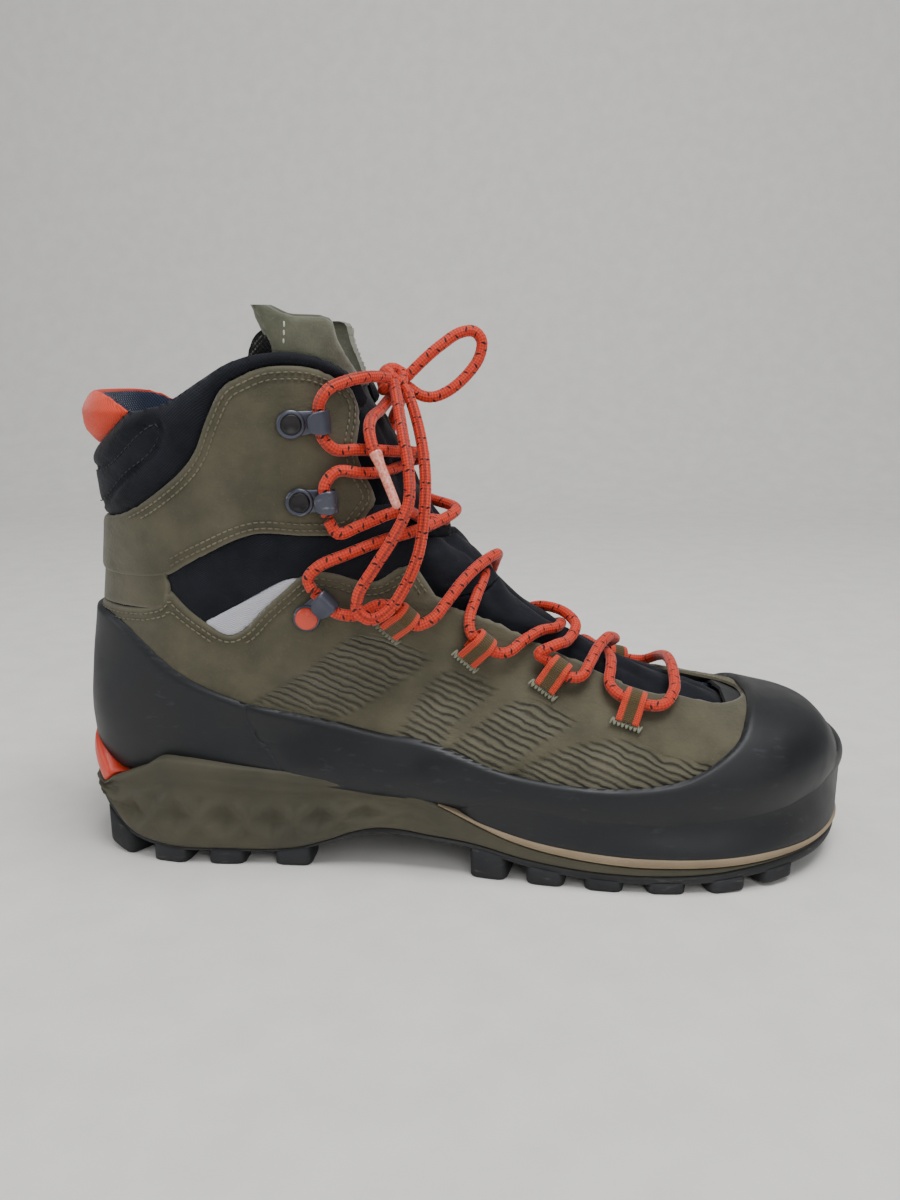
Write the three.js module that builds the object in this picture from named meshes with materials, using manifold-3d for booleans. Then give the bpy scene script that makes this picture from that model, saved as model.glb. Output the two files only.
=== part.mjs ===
// Right mountaineering boot: lateral side towards -Y, toe towards +X, up +Z, all sizes in millimetres.
// The upper is drawn as a shoemaker draws it: one outer surface (the last plus the upper), patterns
// drawn on it from the side, and layers that lie at stated depths under or over that surface.
import * as THREE from 'three';
import { mergeVertices } from 'three/addons/utils/BufferGeometryUtils.js';
import ManifoldModule from 'manifold-3d';

const manifoldLib = await ManifoldModule();
manifoldLib.setup();
const { Manifold, Mesh: ManifoldMesh } = manifoldLib;

// ---------- driving sizes ----------
const bootLength = 312;          // heel welt to toe
const ballWidth = 108;           // widest place of the sole
const shaftHeight = 198;         // ground to the highest place of the collar
const gap = 0.3;                 // clearance between touching pieces
const leatherThickness = 2.0;
const stiffenerThickness = 1.3;  // heel counter and toe puff
const liningThickness = 2.3;
const collarPadThickness = 3.6;
const tongueThickness = 2.5;
const randThickness = 2.3;
const footbedThickness = 5;
const footbedPlay = 1.2;
const footbedInset = 13;         // the footbed's plan lies this far inside the sole's, so its heel lifts clear of the lining
const lastingMargin = 3.2;       // height that the insole board turns up inside the upper
const welt = { overhang: 1.6, front: -129, top: 38.4, bottom: 26.5 };
const shank = { length: 150, width: 16, centreX: -35 };
const lugDepth = 3.4;
const outsoleInset = 0.6;        // the outsole's edge lies inside the midsole's
const lug = { edgeLength: 15, edgeReach: 34, middleLength: 13, middleWidth: 20, splay: 0.12, inset: 1.2, root: 0.8 };
const seatLift = 0.85;           // hardware stands this far off the surface at its seat
const seatClearance = 0.1;       // and at least this far off it elsewhere under the piece
const hook = { width: 7.5, length: 14, plateRadius: 5.2, plate: 1.2, bendRadius: 3.0, flare: 0.6, holeRadius: 2.4 };
const rivet = { headRadius: 3.9, headHeight: 1.5, shankRadius: 2.1 };
const webbing = { width: 9, length: 9, thickness: 1.6, eyeRadius: 3.2, eyeWall: 1.0 };
const lace = { radius: 2.2, sides: 8 };
const aglet = { radius: 1.7, length: 20 };

// The patterns below are drawn for this size and graded from it.
const pattern = { length: 312, width: 108, height: 198 };
const gradeX = (x) => (x * bootLength) / pattern.length;
const gradeY = (y) => (y * ballWidth) / pattern.width;
const gradeZ = (z) => (z * shaftHeight) / pattern.height;
const centreShift = 1.2;         // moves the boot so that its box is centred on Y = 0

// ---------- layers, as depth under (-) or height over (+) the outer surface of the leather ----------
const leatherLayer = [-leatherThickness, 0];
const stiffenerLayer = [leatherLayer[0] - gap - stiffenerThickness, leatherLayer[0] - gap];
const liningLayer = [stiffenerLayer[0] - gap - liningThickness, stiffenerLayer[0] - gap];
const tongueLayer = [liningLayer[0] - gap - tongueThickness, liningLayer[0] - gap];
const collarLayer = [-Math.min(collarPadThickness, -liningLayer[1] - gap), 0];
const randLayer = [gap, gap + randThickness];
const cavityDepth = liningLayer[0] - gap;
const soleClearance = randLayer[1] + gap;

// ---------- colours ----------
const finish = {
  leather: [0x645c4b, 0.85, 0],
  rubber: [0x24272c, 0.6, 0],
  fabric: [0x1a1c21, 0.95, 0],
  lining: [0x222a3c, 0.95, 0],
  mesh: [0xc4c4cb, 0.9, 0],
  orange: [0xe0452b, 0.7, 0],
  foam: [0x544c3c, 0.8, 0],
  beige: [0x8c7a63, 0.8, 0],
  outsole: [0x2a2b2e, 0.8, 0],
  metal: [0x5b5c66, 0.35, 0.9],
  board: [0xb59a6c, 0.9, 0],
  steel: [0x9a9c9e, 0.4, 0.9],
  flap: [0x6f705f, 0.9, 0],
  clear: [0xc9ccd0, 0.15, 0],
};

// ---------- the outer surface ----------
// Each station is a line in the side view from the heel or bottom (hx, hz) to the instep or top (tx, tz).
// half: half width, shift: sideways shift, wide: where along the line it is widest,
// low and high: roundness of the section towards the bottom and the top (2 is an ellipse).
const stations = [
  { hx: -147, hz: 214, tx: -34, tz: 214, half: 45, shift: 0, wide: 0.48, low: 2.3, high: 2.2 },
  { hx: -147, hz: 186, tx: -33, tz: 187, half: 43.5, shift: 0, wide: 0.48, low: 2.3, high: 2.2 },
  { hx: -146, hz: 162, tx: -23, tz: 163, half: 41, shift: 0, wide: 0.47, low: 2.2, high: 2.1 },
  { hx: -145, hz: 140, tx: -10, tz: 140, half: 38.5, shift: 0, wide: 0.45, low: 2.2, high: 2.0 },
  { hx: -147, hz: 118, tx: 6, tz: 122, half: 36.5, shift: 0, wide: 0.44, low: 2.2, high: 2.0 },
  { hx: -149, hz: 98, tx: 16, tz: 112.5, half: 35.5, shift: 0, wide: 0.42, low: 2.3, high: 2.0 },
  { hx: -152, hz: 76, tx: 26, tz: 103, half: 34.5, shift: 0, wide: 0.4, low: 2.4, high: 2.0 },
  { hx: -153, hz: 53, tx: 36, tz: 96, half: 34, shift: 0, wide: 0.38, low: 2.6, high: 2.0 },
  { hx: -147, hz: 34, tx: 46, tz: 90, half: 34, shift: 0, wide: 0.36, low: 2.8, high: 2.0 },
  { hx: -122, hz: 30, tx: 57, tz: 84, half: 35, shift: -0.5, wide: 0.34, low: 3, high: 2.0 },
  { hx: -82, hz: 29, tx: 69, tz: 78.5, half: 37, shift: -1.5, wide: 0.32, low: 3, high: 2.0 },
  { hx: -38, hz: 27, tx: 82, tz: 74.5, half: 40.5, shift: -2, wide: 0.32, low: 3, high: 2.0 },
  { hx: 6, hz: 22, tx: 96, tz: 70, half: 45, shift: -1.5, wide: 0.3, low: 3, high: 2.1 },
  { hx: 46, hz: 17, tx: 110, tz: 65.5, half: 48.5, shift: -0.5, wide: 0.3, low: 3, high: 2.2 },
  { hx: 80, hz: 15, tx: 122, tz: 62, half: 48, shift: 1, wide: 0.32, low: 3, high: 2.3 },
  { hx: 108, hz: 16.5, tx: 134, tz: 58.5, half: 43, shift: 2.5, wide: 0.36, low: 3, high: 2.4 },
  { hx: 128, hz: 20, tx: 142.5, tz: 54, half: 34, shift: 4, wide: 0.42, low: 2.8, high: 2.4 },
  { hx: 141, hz: 25, tx: 149, tz: 46, half: 21, shift: 5, wide: 0.48, low: 2.4, high: 2.2 },
];
const toePoint = { x: 152.5, y: 5.5, z: 35 };
const stepsPerStation = 1;
const aroundCount = 22;

/** Smooth value of one station field at a fractional station number. */
function stationValue(field, position) {
  const last = stations.length - 1;
  const index = Math.min(Math.floor(position), last - 1);
  const part = position - index;
  const value = (i) => stations[Math.min(Math.max(i, 0), last)][field];
  const [a, b, c, d] = [value(index - 1), value(index), value(index + 1), value(index + 2)];
  const slopeB = (c - a) / 2;
  const slopeC = (d - b) / 2;
  const p2 = part * part;
  const p3 = p2 * part;
  return b * (2 * p3 - 3 * p2 + 1) + slopeB * (p3 - 2 * p2 + part) + c * (3 * p2 - 2 * p3) + slopeC * (p3 - p2);
}

/** One point of a station's section; angle 0 is the bottom or back, PI the top or front. */
function sectionPoint(position, angle) {
  const get = (field) => stationValue(field, position);
  const wide = get('wide');
  const lower = Math.cos(angle) >= 0;
  const power = 2 / (lower ? get('low') : get('high'));
  const cosine = Math.abs(Math.cos(angle)) ** power;
  const sine = Math.abs(Math.sin(angle)) ** power;
  const along = lower ? wide * (1 - cosine) : wide + (1 - wide) * cosine;
  const side = Math.sin(angle) >= 0 ? -1 : 1;
  return new THREE.Vector3(
    gradeX(get('hx') + (get('tx') - get('hx')) * along),
    gradeY(centreShift + get('shift') + side * get('half') * sine),
    gradeZ(get('hz') + (get('tz') - get('hz')) * along),
  );
}

/** The outer surface as an open indexed tube: rings from the collar down and forward, then the toe point. */
function makeUpperGrid() {
  const ringCount = (stations.length - 1) * stepsPerStation + 1;
  const points = [];
  for (let ring = 0; ring < ringCount; ring += 1) {
    for (let k = 0; k < aroundCount; k += 1) {
      points.push(sectionPoint(ring / stepsPerStation, (2 * Math.PI * k) / aroundCount));
    }
  }
  points.push(new THREE.Vector3(gradeX(toePoint.x), gradeY(toePoint.y), gradeZ(toePoint.z)));
  const faces = [];
  for (let ring = 0; ring < ringCount - 1; ring += 1) {
    for (let k = 0; k < aroundCount; k += 1) {
      const next = (k + 1) % aroundCount;
      const [a, b] = [ring * aroundCount + k, ring * aroundCount + next];
      const [c, d] = [a + aroundCount, b + aroundCount];
      faces.push(a, c, b, b, c, d);
    }
  }
  const lastRing = (ringCount - 1) * aroundCount;
  for (let k = 0; k < aroundCount; k += 1) {
    faces.push(lastRing + k, points.length - 1, lastRing + ((k + 1) % aroundCount));
  }
  const geometry = new THREE.BufferGeometry().setFromPoints(points);
  geometry.setIndex(faces);
  geometry.computeVertexNormals();
  return geometry;
}

const upperGrid = makeUpperGrid();

// ---------- solids ----------
/** A closed solid of manifold-3d from a three.js geometry. */
function toSolid(geometry) {
  const bare = geometry.clone();
  bare.deleteAttribute('normal');
  bare.deleteAttribute('uv');
  const merged = mergeVertices(bare, 1e-4);
  return Manifold.ofMesh(new ManifoldMesh({
    numProp: 3,
    vertProperties: new Float32Array(merged.attributes.position.array),
    triVerts: new Uint32Array(merged.index.array),
  }));
}

/** A three.js geometry from a solid. */
function toGeometry(solid) {
  const mesh = solid.getMesh();
  const geometry = new THREE.BufferGeometry();
  geometry.setAttribute('position', new THREE.BufferAttribute(new Float32Array(mesh.vertProperties), 3));
  geometry.setIndex(new THREE.BufferAttribute(new Uint32Array(mesh.triVerts), 1));
  geometry.computeVertexNormals();
  return geometry;
}

const filled = new Map();
/** The whole upper as one filled solid, its surface moved outwards by depth. */
function filledUpper(depth) {
  if (!filled.has(depth)) {
    const position = upperGrid.attributes.position;
    const normal = upperGrid.attributes.normal;
    const points = [];
    for (let i = 0; i < position.count; i += 1) {
      const point = new THREE.Vector3().fromBufferAttribute(position, i);
      points.push(point.addScaledVector(new THREE.Vector3().fromBufferAttribute(normal, i), depth));
    }
    const top = new THREE.Vector3();
    for (let k = 0; k < aroundCount; k += 1) {
      top.addScaledVector(points[k], 1 / aroundCount);
    }
    points.push(top);
    const faces = Array.from(upperGrid.index.array);
    for (let k = 0; k < aroundCount; k += 1) {
      faces.push(k, (k + 1) % aroundCount, points.length - 1);
    }
    const geometry = new THREE.BufferGeometry().setFromPoints(points);
    geometry.setIndex(faces);
    filled.set(depth, toSolid(geometry));
  }
  return filled.get(depth);
}

/** The shell of the upper between two depths. */
function layerShell([inner, outer]) {
  return filledUpper(outer).subtract(filledUpper(inner));
}

/** A prism across the boot from a side-view outline of [x, z] points, already graded. */
function sidePrism(outline, halfDepth = 90) {
  const shape = new THREE.Shape(outline.map(([x, z]) => new THREE.Vector2(x, z)));
  const geometry = new THREE.ExtrudeGeometry(shape, { depth: 2 * halfDepth, bevelEnabled: false, steps: 1 });
  geometry.rotateX(Math.PI / 2);
  geometry.translate(0, halfDepth, 0);
  return toSolid(geometry);
}

/** Grades a side-view pattern line and moves it by lift in z. */
function patternLine(line, lift = 0) {
  return line.map(([x, z]) => [gradeX(x), gradeZ(z) + lift]);
}

/** Closed outline between a lower and an upper line, both running from the heel to the toe. */
function band(lower, upper) {
  return [...lower, ...[...upper].reverse()];
}

/** Keeps one side of the boot: -1 is lateral, 1 is medial. */
function keepSide(solid, side) {
  const box = new THREE.BoxGeometry(400, 100, 300);
  box.translate(0, side * (50 + gap / 2), 100);
  return solid.intersect(toSolid(box));
}

// ---------- nodes ----------
const boot = new THREE.Group();
boot.name = 'mountaineering_boot';
const sideNames = { lateral: -1, medial: 1 };

/** Adds a node; look is a key of finish. */
function addNode(name, solid, look) {
  const [color, roughness, metalness] = finish[look];
  const material = new THREE.MeshStandardMaterial({ color, roughness, metalness });
  const geometry = solid.isBufferGeometry ? solid : toGeometry(solid);
  const mesh = new THREE.Mesh(geometry, material);
  mesh.name = name;
  boot.add(mesh);
  return mesh;
}

// ---------- pattern lines, from the heel to the toe, drawn at the pattern size ----------
const farBack = -190;
const farFront = 190;
const baseLine = [[farBack, 37], [-147, 37], [-122, 33.4], [-82, 32.4], [-38, 30.4], [6, 25.4], [46, 20.4],
  [80, 18.4], [108, 19.9], [128, 23.4], [141, 27.4], [farFront, 32]];
const soleTop = [[farBack, 38.4], [welt.front, 38.4], [-119, 44], [-110, 44], [-86, 41.5], [-49, 38], [-24, 34],
  [-8, 29], [7, 23], [29, 17], [52, 14.5], [76, 14], [96, 15], [118, 19], [132, 23], [145, 29], [farFront, 44]];
const stripeBottom = [[-10, 29], [18, 17], [40, 12], [62, 10], [78, 10], [94, 12], [116, 17], [130, 21.5],
  [146, 27], [farFront, 40]];
const outsoleTop = [[farBack, 26], [-150, 24], [-143, 20], [-134, 11], [-119, 7], [-99, 6.5], [-68, 7], [-52, 12],
  [-43, 15.5], [-33, 17.5], [-23, 17], [-13, 15], [5, 13], [23, 9], [45, 5.6], [62, 5], [78, 5], [94, 8],
  [107, 12], [126, 17.5], [146, 24], [farFront, 38]];
const outsoleBottom = [[farBack, 20], [-152, 12], [-143, 7], [-132, lugDepth], [-60, lugDepth], [-50, 8], [-40, 11],
  [-28, 12], [-15, 10], [-2, 6], [12, lugDepth], [80, lugDepth - 0.6], [95, 4.6], [110, 8.8], [126, 14],
  [140, 18.6], [farFront, 34]];
const groundLine = [[farBack, 14], [-152, 7], [-144, 2.5], [-134, 0], [85, 0], [100, 2], [116, 6], [132, 12],
  [146, 19], [farFront, 30]];
const cuffTop = [[farBack, 136], [-146, 136], [-127, 140], [-105, 154], [-97, 163], [-92, 174], [-85, 186], [-78, 190],
  [-70, 193], [-55, 193], [-48, 190], [-42, 186], [-39, 180]];
const cuffFront = [[-39, 173], [-40, 165], [-38, 156], [-34, 148], [-34, 143]];
const cuffBottom = [[farBack, 115.5], [-115, 115.5], [-106, 120], [-96, 125], [-83, 131], [-75, 133], [-58, 132],
  [-42, 133], [-37, 139]];
const tabEdge = [[farBack, 163], [-147, 163], [-124, 176]];
const tabTop = [[farBack, 184], [-142, 184], [-134, 182], [-126, 177.5]];
const collarTop = [[-119, 177], [-107, 180], [-95, 187], [-83, 194], [-73, 197],
  [-60, 198], [-48, 195], [-39, 189], [-35, 181]];
const flexTop = [[farBack, 104], [-117, 104], [-113, 111], [-108, 105], [-99, 98], [-90, 93], [-84, 95], [-76, 103],
  [-67, 111], [-61, 116], [-55, 118], [-48, 117], [-39, 114], [-32, 114], [-23, 119], [-19, 120]];
const throat = [[-11, 107.5], [-7, 103.5], [2, 99.5], [13, 95], [28, 87], [42, 81], [56, 75], [70, 70], [85, 68],
  [100, 65], [113, 64.5]];
const randFrontTop = [[-84, 66], [-69, 63], [-31, 55], [-16, 53], [1, 48], [17, 43], [37, 40], [55, 39], [70, 40],
  [81, 42], [89, 45], [98, 50], [105, 55], [109, 60], [113, 64.5], [114, 90], [farFront, 90]];
const randHeelTop = [[farBack, 100], [-146, 100], [-134, 96], [-125, 89], [-113, 79], [-100, 72], [-84, 66]];
const randSeam = [[-78, 53], [-69, 38], [-66, 20]];
const liningSplitLow = [[farBack, 99], [-112, 96], [-88, 90], [-60, 107], [-32, 111], [-18, 115]];
const liningSplitHigh = [[farBack, 117], [-115, 118], [-92, 130], [-60, 136], [-37, 141]];

// ---------- sole ----------
// Plan outline of the sole, anticlockwise from the heel, as [x, y] at the pattern size.
const planPoints = [[-154.5, 0], [-147, -23], [-120, -37], [-70, -38.5], [-15, -41.5], [35, -50.5], [70, -54.5],
  [105, -51], [133, -37], [149, -17], [155.5, 4], [152.5, 24], [138, 42.5], [112, 51], [82, 53.5], [45, 48],
  [0, 38], [-50, 36], [-100, 38.5], [-144, 26]];

const belowGround = -5;          // cutting prisms start under the tread
const soleCeiling = 70;          // and end over the sole
const tallBox = 80;              // a box that reaches through the whole sole

/** Upright prism of the sole's plan, grown outwards by grow. */
function planPrism(grow, bottom, top) {
  const knots = planPoints.map(([x, y]) => new THREE.Vector3(gradeX(x), gradeY(y + centreShift), 0));
  const curve = new THREE.CatmullRomCurve3(knots, true, 'centripetal');
  const steps = planPoints.length * 3;
  const outline = [];
  for (let i = 0; i < steps; i += 1) {
    const point = curve.getPoint(i / steps);
    const tangent = curve.getTangent(i / steps);
    outline.push(new THREE.Vector2(point.x + tangent.y * grow, point.y - tangent.x * grow));
  }
  const geometry = new THREE.ExtrudeGeometry(new THREE.Shape(outline), { depth: top - bottom, bevelEnabled: false });
  geometry.translate(0, 0, bottom);
  return toSolid(geometry);
}

/** A box given by its centre and size. */
function boxSolid(x, y, z, sizeX, sizeY, sizeZ, turn = 0) {
  const box = new THREE.BoxGeometry(sizeX, sizeY, sizeZ);
  box.rotateZ(turn);
  box.translate(x, y, z);
  return toSolid(box);
}

/** The tread: pairs of edge lugs and a staggered row in the middle, clipped to the ground line. */
function makeLugs() {
  const heelLugs = [-140, -117, -94, -68];
  const foreLugs = [10, 32, 54, 78, 101, 122];
  const middleLugs = [-128, -105, -81, 21, 43, 66, 90, 112, 134];
  const [heelCentre, foreCentre] = [32, 48];
  const solids = [];
  const addEdgePair = (x, centre) => {
    for (const side of [-1, 1]) {
      solids.push(boxSolid(gradeX(x), gradeY(side * centre), 0, lug.edgeLength, lug.edgeReach, tallBox, side * lug.splay));
    }
  };
  heelLugs.forEach((x) => addEdgePair(x, heelCentre));
  foreLugs.forEach((x) => addEdgePair(x, foreCentre));
  for (const x of middleLugs) {
    solids.push(boxSolid(gradeX(x), gradeY(centreShift), 0, lug.middleLength, lug.middleWidth, tallBox));
  }
  const treadZone = sidePrism(band(patternLine(groundLine), patternLine(outsoleBottom, lug.root)));
  return Manifold.union(solids).intersect(planPrism(-lug.inset, belowGround, soleCeiling)).intersect(treadZone);
}

function makeSole() {
  const plan = planPrism(0, belowGround, soleCeiling);
  const upper = filledUpper(soleClearance);
  const outsoleBase = planPrism(-outsoleInset, belowGround, soleCeiling)
    .intersect(sidePrism(band(patternLine(outsoleBottom), patternLine(outsoleTop))));
  addNode('outsole', outsoleBase.add(makeLugs()).subtract(upper), 'outsole');

  const weltZone = patternLine([[farBack, welt.bottom], [welt.front - 8, welt.bottom], [welt.front, welt.top],
    [farBack, welt.top]]);
  addNode('heel_welt', planPrism(welt.overhang, belowGround, soleCeiling).intersect(sidePrism(weltZone)).subtract(upper), 'orange');
  const weltClear = patternLine([[farBack, welt.bottom], [welt.front - 8, welt.bottom], [welt.front, welt.top],
    [welt.front, soleCeiling], [farBack, soleCeiling]]).map(([x, z]) => [x + gap, z - gap]);

  const midsoleTop = [...soleTop.filter(([x]) => x < stripeBottom[0][0]), ...stripeBottom];
  const midsoleZone = sidePrism(band(patternLine(outsoleTop, gap), patternLine(midsoleTop, -gap)));
  addNode('midsole', plan.intersect(midsoleZone).subtract(sidePrism(weltClear)).subtract(upper), 'foam');

  const cushionTop = soleTop.filter(([x]) => x > stripeBottom[0][0]);
  const cushionZone = sidePrism(band(patternLine(stripeBottom), patternLine(cushionTop)));
  addNode('midsole_cushion', plan.intersect(cushionZone).subtract(upper), 'beige');
}

function makeInsole() {
  const belowBase = sidePrism(band(patternLine([[farBack, 0], [farFront, 0]]), patternLine(baseLine, -gap)));
  addNode('lasting_board', layerShell(leatherLayer).intersect(belowBase), 'board');
  const shankZone = (grow) => boxSolid(gradeX(shank.centreX), gradeY(centreShift - 1), 20,
    shank.length + 2 * grow, shank.width + 2 * grow, tallBox);
  const fillerZone = layerShell(randLayer).intersect(belowBase);
  addNode('shank', layerShell(randLayer).intersect(belowBase).intersect(shankZone(0)), 'steel');
  addNode('bottom_filler', fillerZone.subtract(shankZone(gap)), 'board');
  const footbedZone = sidePrism(band(patternLine([[farBack, 0], [farFront, 0]]),
    patternLine(baseLine.slice(1, -1), -lastingMargin - cavityDepth + footbedThickness)));
  const loose = filledUpper(cavityDepth - footbedPlay).translate([0, 0, gap - footbedPlay]);
  const footbedPlan = planPrism(-footbedInset, belowGround, soleCeiling);
  addNode('footbed', loose.intersect(footbedZone).intersect(footbedPlan), 'fabric');
}

// ---------- lower upper ----------
function makeLowerUpper() {
  const base = patternLine(baseLine);
  const quarterTop = [...flexTop, ...throat, [114, 90], [farFront, 90]];
  const quarterZone = sidePrism(band(base, patternLine(quarterTop, -gap)));
  addNode('quarter_leather', layerShell(leatherLayer).intersect(quarterZone), 'leather');

  const seamLine = patternLine(randSeam);
  const frontOutline = [...seamLine.slice().reverse(), ...patternLine(randFrontTop), [gradeX(farFront), 0],
    [gradeX(-66), 0]];
  const aboveBase = sidePrism(band(base, patternLine([[farBack, 130], [farFront, 130]])));
  const rand = layerShell(randLayer).intersect(aboveBase);
  addNode('rand_front', rand.intersect(sidePrism(frontOutline)), 'rubber');
  const heelOutline = [[gradeX(-66), 0], ...seamLine.slice().reverse(), ...patternLine(randHeelTop).reverse(),
    [gradeX(farBack), 0]].map(([x, z]) => [x - gap, z]);
  addNode('rand_heel', rand.intersect(sidePrism(heelOutline)), 'rubber');

  const stiff = layerShell(stiffenerLayer).intersect(aboveBase);
  addNode('heel_counter', stiff.intersect(sidePrism(patternLine([[farBack, 94], [-122, 91], [-95, 70], [-84, 20],
    [farBack, 20]]))), 'board');
  addNode('toe_puff', stiff.intersect(sidePrism(patternLine([[116, 90], [98, 50], [94, 10], [farFront, 10],
    [farFront, 90]]))), 'board');

  const liningTop = [...liningSplitLow, ...throat, [114, 90], [farFront, 90]];
  const liningZone = sidePrism(band(patternLine([[farBack, 0], [farFront, 0]]), patternLine(liningTop, -gap)));
  addNode('lining_lower', layerShell(liningLayer).intersect(liningZone), 'lining');
}

// ---------- ankle ----------
const meshTop = [[-99, 98], [-84, 106], [-67, 115], [-61, 116]];
function makeAnkle() {
  const leather = layerShell(leatherLayer);
  const meshZone = sidePrism(band(patternLine([[-99, 98], [-90, 93], [-84, 95], [-76, 103], [-67, 111], [-61, 116]]),
    patternLine(meshTop.slice(1, -1), -gap)));
  const flexLow = [...flexTop.slice(2, 4), ...meshTop, ...flexTop.slice(10), [-18.5, 130]];
  const flexHigh = [...cuffBottom.slice(1).map(([x, z]) => [x, z - gap]), [-33, 142.6], [-24, 143]];
  const gussetZone = sidePrism(band(patternLine(flexLow), patternLine(flexHigh)));
  for (const [name, side] of Object.entries(sideNames)) {
    addNode(`mesh_insert_${name}`, keepSide(leather.intersect(meshZone), side), 'mesh');
    addNode(`ankle_gusset_${name}`, keepSide(leather.intersect(gussetZone), side), 'fabric');
  }
  const achillesZone = sidePrism(patternLine([[farBack, 104], [-117.4, 104], [-115.5, 115.2],
    [farBack, 115.2]]));
  addNode('achilles_flex', leather.intersect(achillesZone), 'leather');
  const liningZone = sidePrism(band(patternLine(liningSplitLow), patternLine(liningSplitHigh, -gap)));
  addNode('ankle_lining', layerShell(liningLayer).intersect(liningZone), 'lining');
}

// ---------- cuff and tongue ----------
function makeCuff() {
  const leather = layerShell(leatherLayer);
  const cuffOutline = [...patternLine(cuffBottom), ...patternLine(cuffFront).reverse(),
    ...patternLine(cuffTop, -gap).reverse()];
  addNode('cuff_leather', leather.intersect(sidePrism(cuffOutline)), 'leather');
  const padOutline = [...patternLine(cuffTop), ...patternLine([[-36, 179]]), ...patternLine(collarTop).reverse(),
    ...patternLine(tabEdge, -gap).reverse()];
  addNode('collar_pad', layerShell(collarLayer).intersect(sidePrism(padOutline)), 'fabric');
  const liningOutline = [...patternLine(liningSplitHigh), ...patternLine(cuffFront).reverse(),
    ...patternLine(collarTop, -1.5).reverse()];
  const tabOutline = [...patternLine(tabEdge), ...patternLine(tabTop).reverse()];
  addNode('collar_tab', layerShell(collarLayer).intersect(sidePrism(tabOutline)), 'orange');
  addNode('cuff_lining', layerShell(liningLayer).intersect(sidePrism(liningOutline)), 'lining');
}

const hingeLine = 131;
function makeTongue() {
  const shell = layerShell(tongueLayer);
  const under = [[-46, 100], [-20, 100], [-7, 92], [13, 86], [42, 72], [70, 60], [100, 54], [126, 54], [126, 90]];
  const lowerOutline = [...patternLine(under), ...patternLine([[60, 110], [20, 118], [10, 108], [-20, 104],
    [-46, 104]])];
  addNode('tongue_lower', shell.intersect(sidePrism(lowerOutline)), 'fabric');
  const flexOutline = patternLine([[-46, 104 + gap], [-20, 104 + gap], [10, 108 + gap], [22, 119], [22, hingeLine],
    [-46, hingeLine]]);
  addNode('tongue_flex', shell.intersect(sidePrism(flexOutline)), 'fabric');
  const upperOutline = patternLine([[-46, hingeLine + gap], [30, hingeLine + gap], [10, 188], [-62, 188],
    [-60, 165]]);
  addNode('tongue_upper', shell.intersect(sidePrism(upperOutline)), 'fabric');
  const flapOutline = patternLine([[-76, 188 + gap], [-10, 188 + gap], [-30, 212], [-46, 212], [-61, 213.5],
    [-72, 213.5]]);
  addNode('tongue_flap', shell.intersect(sidePrism(flapOutline)), 'flap');
}

// ---------- hardware on the upper ----------
const upperProbe = new THREE.Mesh(upperGrid, new THREE.MeshBasicMaterial({ side: THREE.DoubleSide }));

/** How far the upper rises over a seat, within a footprint from back to front and halfWidth to each side. */
function riseUnder(seat, { back, front, halfWidth }) {
  const probeHeight = 30;
  const out = new THREE.Vector3().setFromMatrixColumn(seat, 1);
  let rise = 0;
  for (const part of [0, 0.25, 0.5, 0.75, 1]) {
    for (const across of [-halfWidth, 0, halfWidth]) {
      const start = new THREE.Vector3(back + (front - back) * part, probeHeight, across).applyMatrix4(seat);
      const hit = new THREE.Raycaster(start, out.clone().negate()).intersectObject(upperProbe)[0];
      rise = Math.max(rise, hit ? probeHeight - hit.distance : 0);
    }
  }
  return rise;
}

/**
 * Frame of a piece that lies on the upper: its origin at side-view place (x, z), its first axis along the
 * surface at a side-view angle, its second axis out of the surface. It is lifted where the upper rises
 * under the piece's footprint.
 */
function seatOnUpper({ x, z, angle }, side, footprint) {
  const start = new THREE.Vector3(gradeX(x), side * 150, gradeZ(z));
  const ray = new THREE.Raycaster(start, new THREE.Vector3(0, -side, 0));
  const hit = ray.intersectObject(upperProbe)[0];
  const out = hit.face.normal.clone();
  if (out.y * side < 0) {
    out.negate();
  }
  const along = new THREE.Vector3(Math.cos(angle), 0, Math.sin(angle));
  along.addScaledVector(out, -along.dot(out)).normalize();
  const across = new THREE.Vector3().crossVectors(along, out);
  const seat = new THREE.Matrix4().makeBasis(along, out, across);
  seat.setPosition(hit.point);
  const lift = Math.max(0, riseUnder(seat, footprint) + seatClearance - seatLift);
  seat.setPosition(hit.point.addScaledVector(out, lift));
  return seat;
}

/** Adds a node made in a seat's own frame. */
function addSeated(name, solid, look, seat) {
  const mesh = addNode(name, solid, look);
  seat.decompose(mesh.position, mesh.quaternion, mesh.scale);
}

/** A profile in the seat's first two axes, extruded evenly to both sides along the third. */
function seatProfile(shape, width, curveSegments = 6) {
  const geometry = new THREE.ExtrudeGeometry(shape, { depth: width, bevelEnabled: false, curveSegments });
  geometry.translate(0, 0, -width / 2);
  return toSolid(geometry);
}

/** A disc lying on the seat, from height low to height high. */
function seatDisc(radius, low, high, sides = 16) {
  const disc = new THREE.CylinderGeometry(radius, radius, high - low, sides);
  disc.translate(0, (low + high) / 2, 0);
  return toSolid(disc);
}

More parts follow.
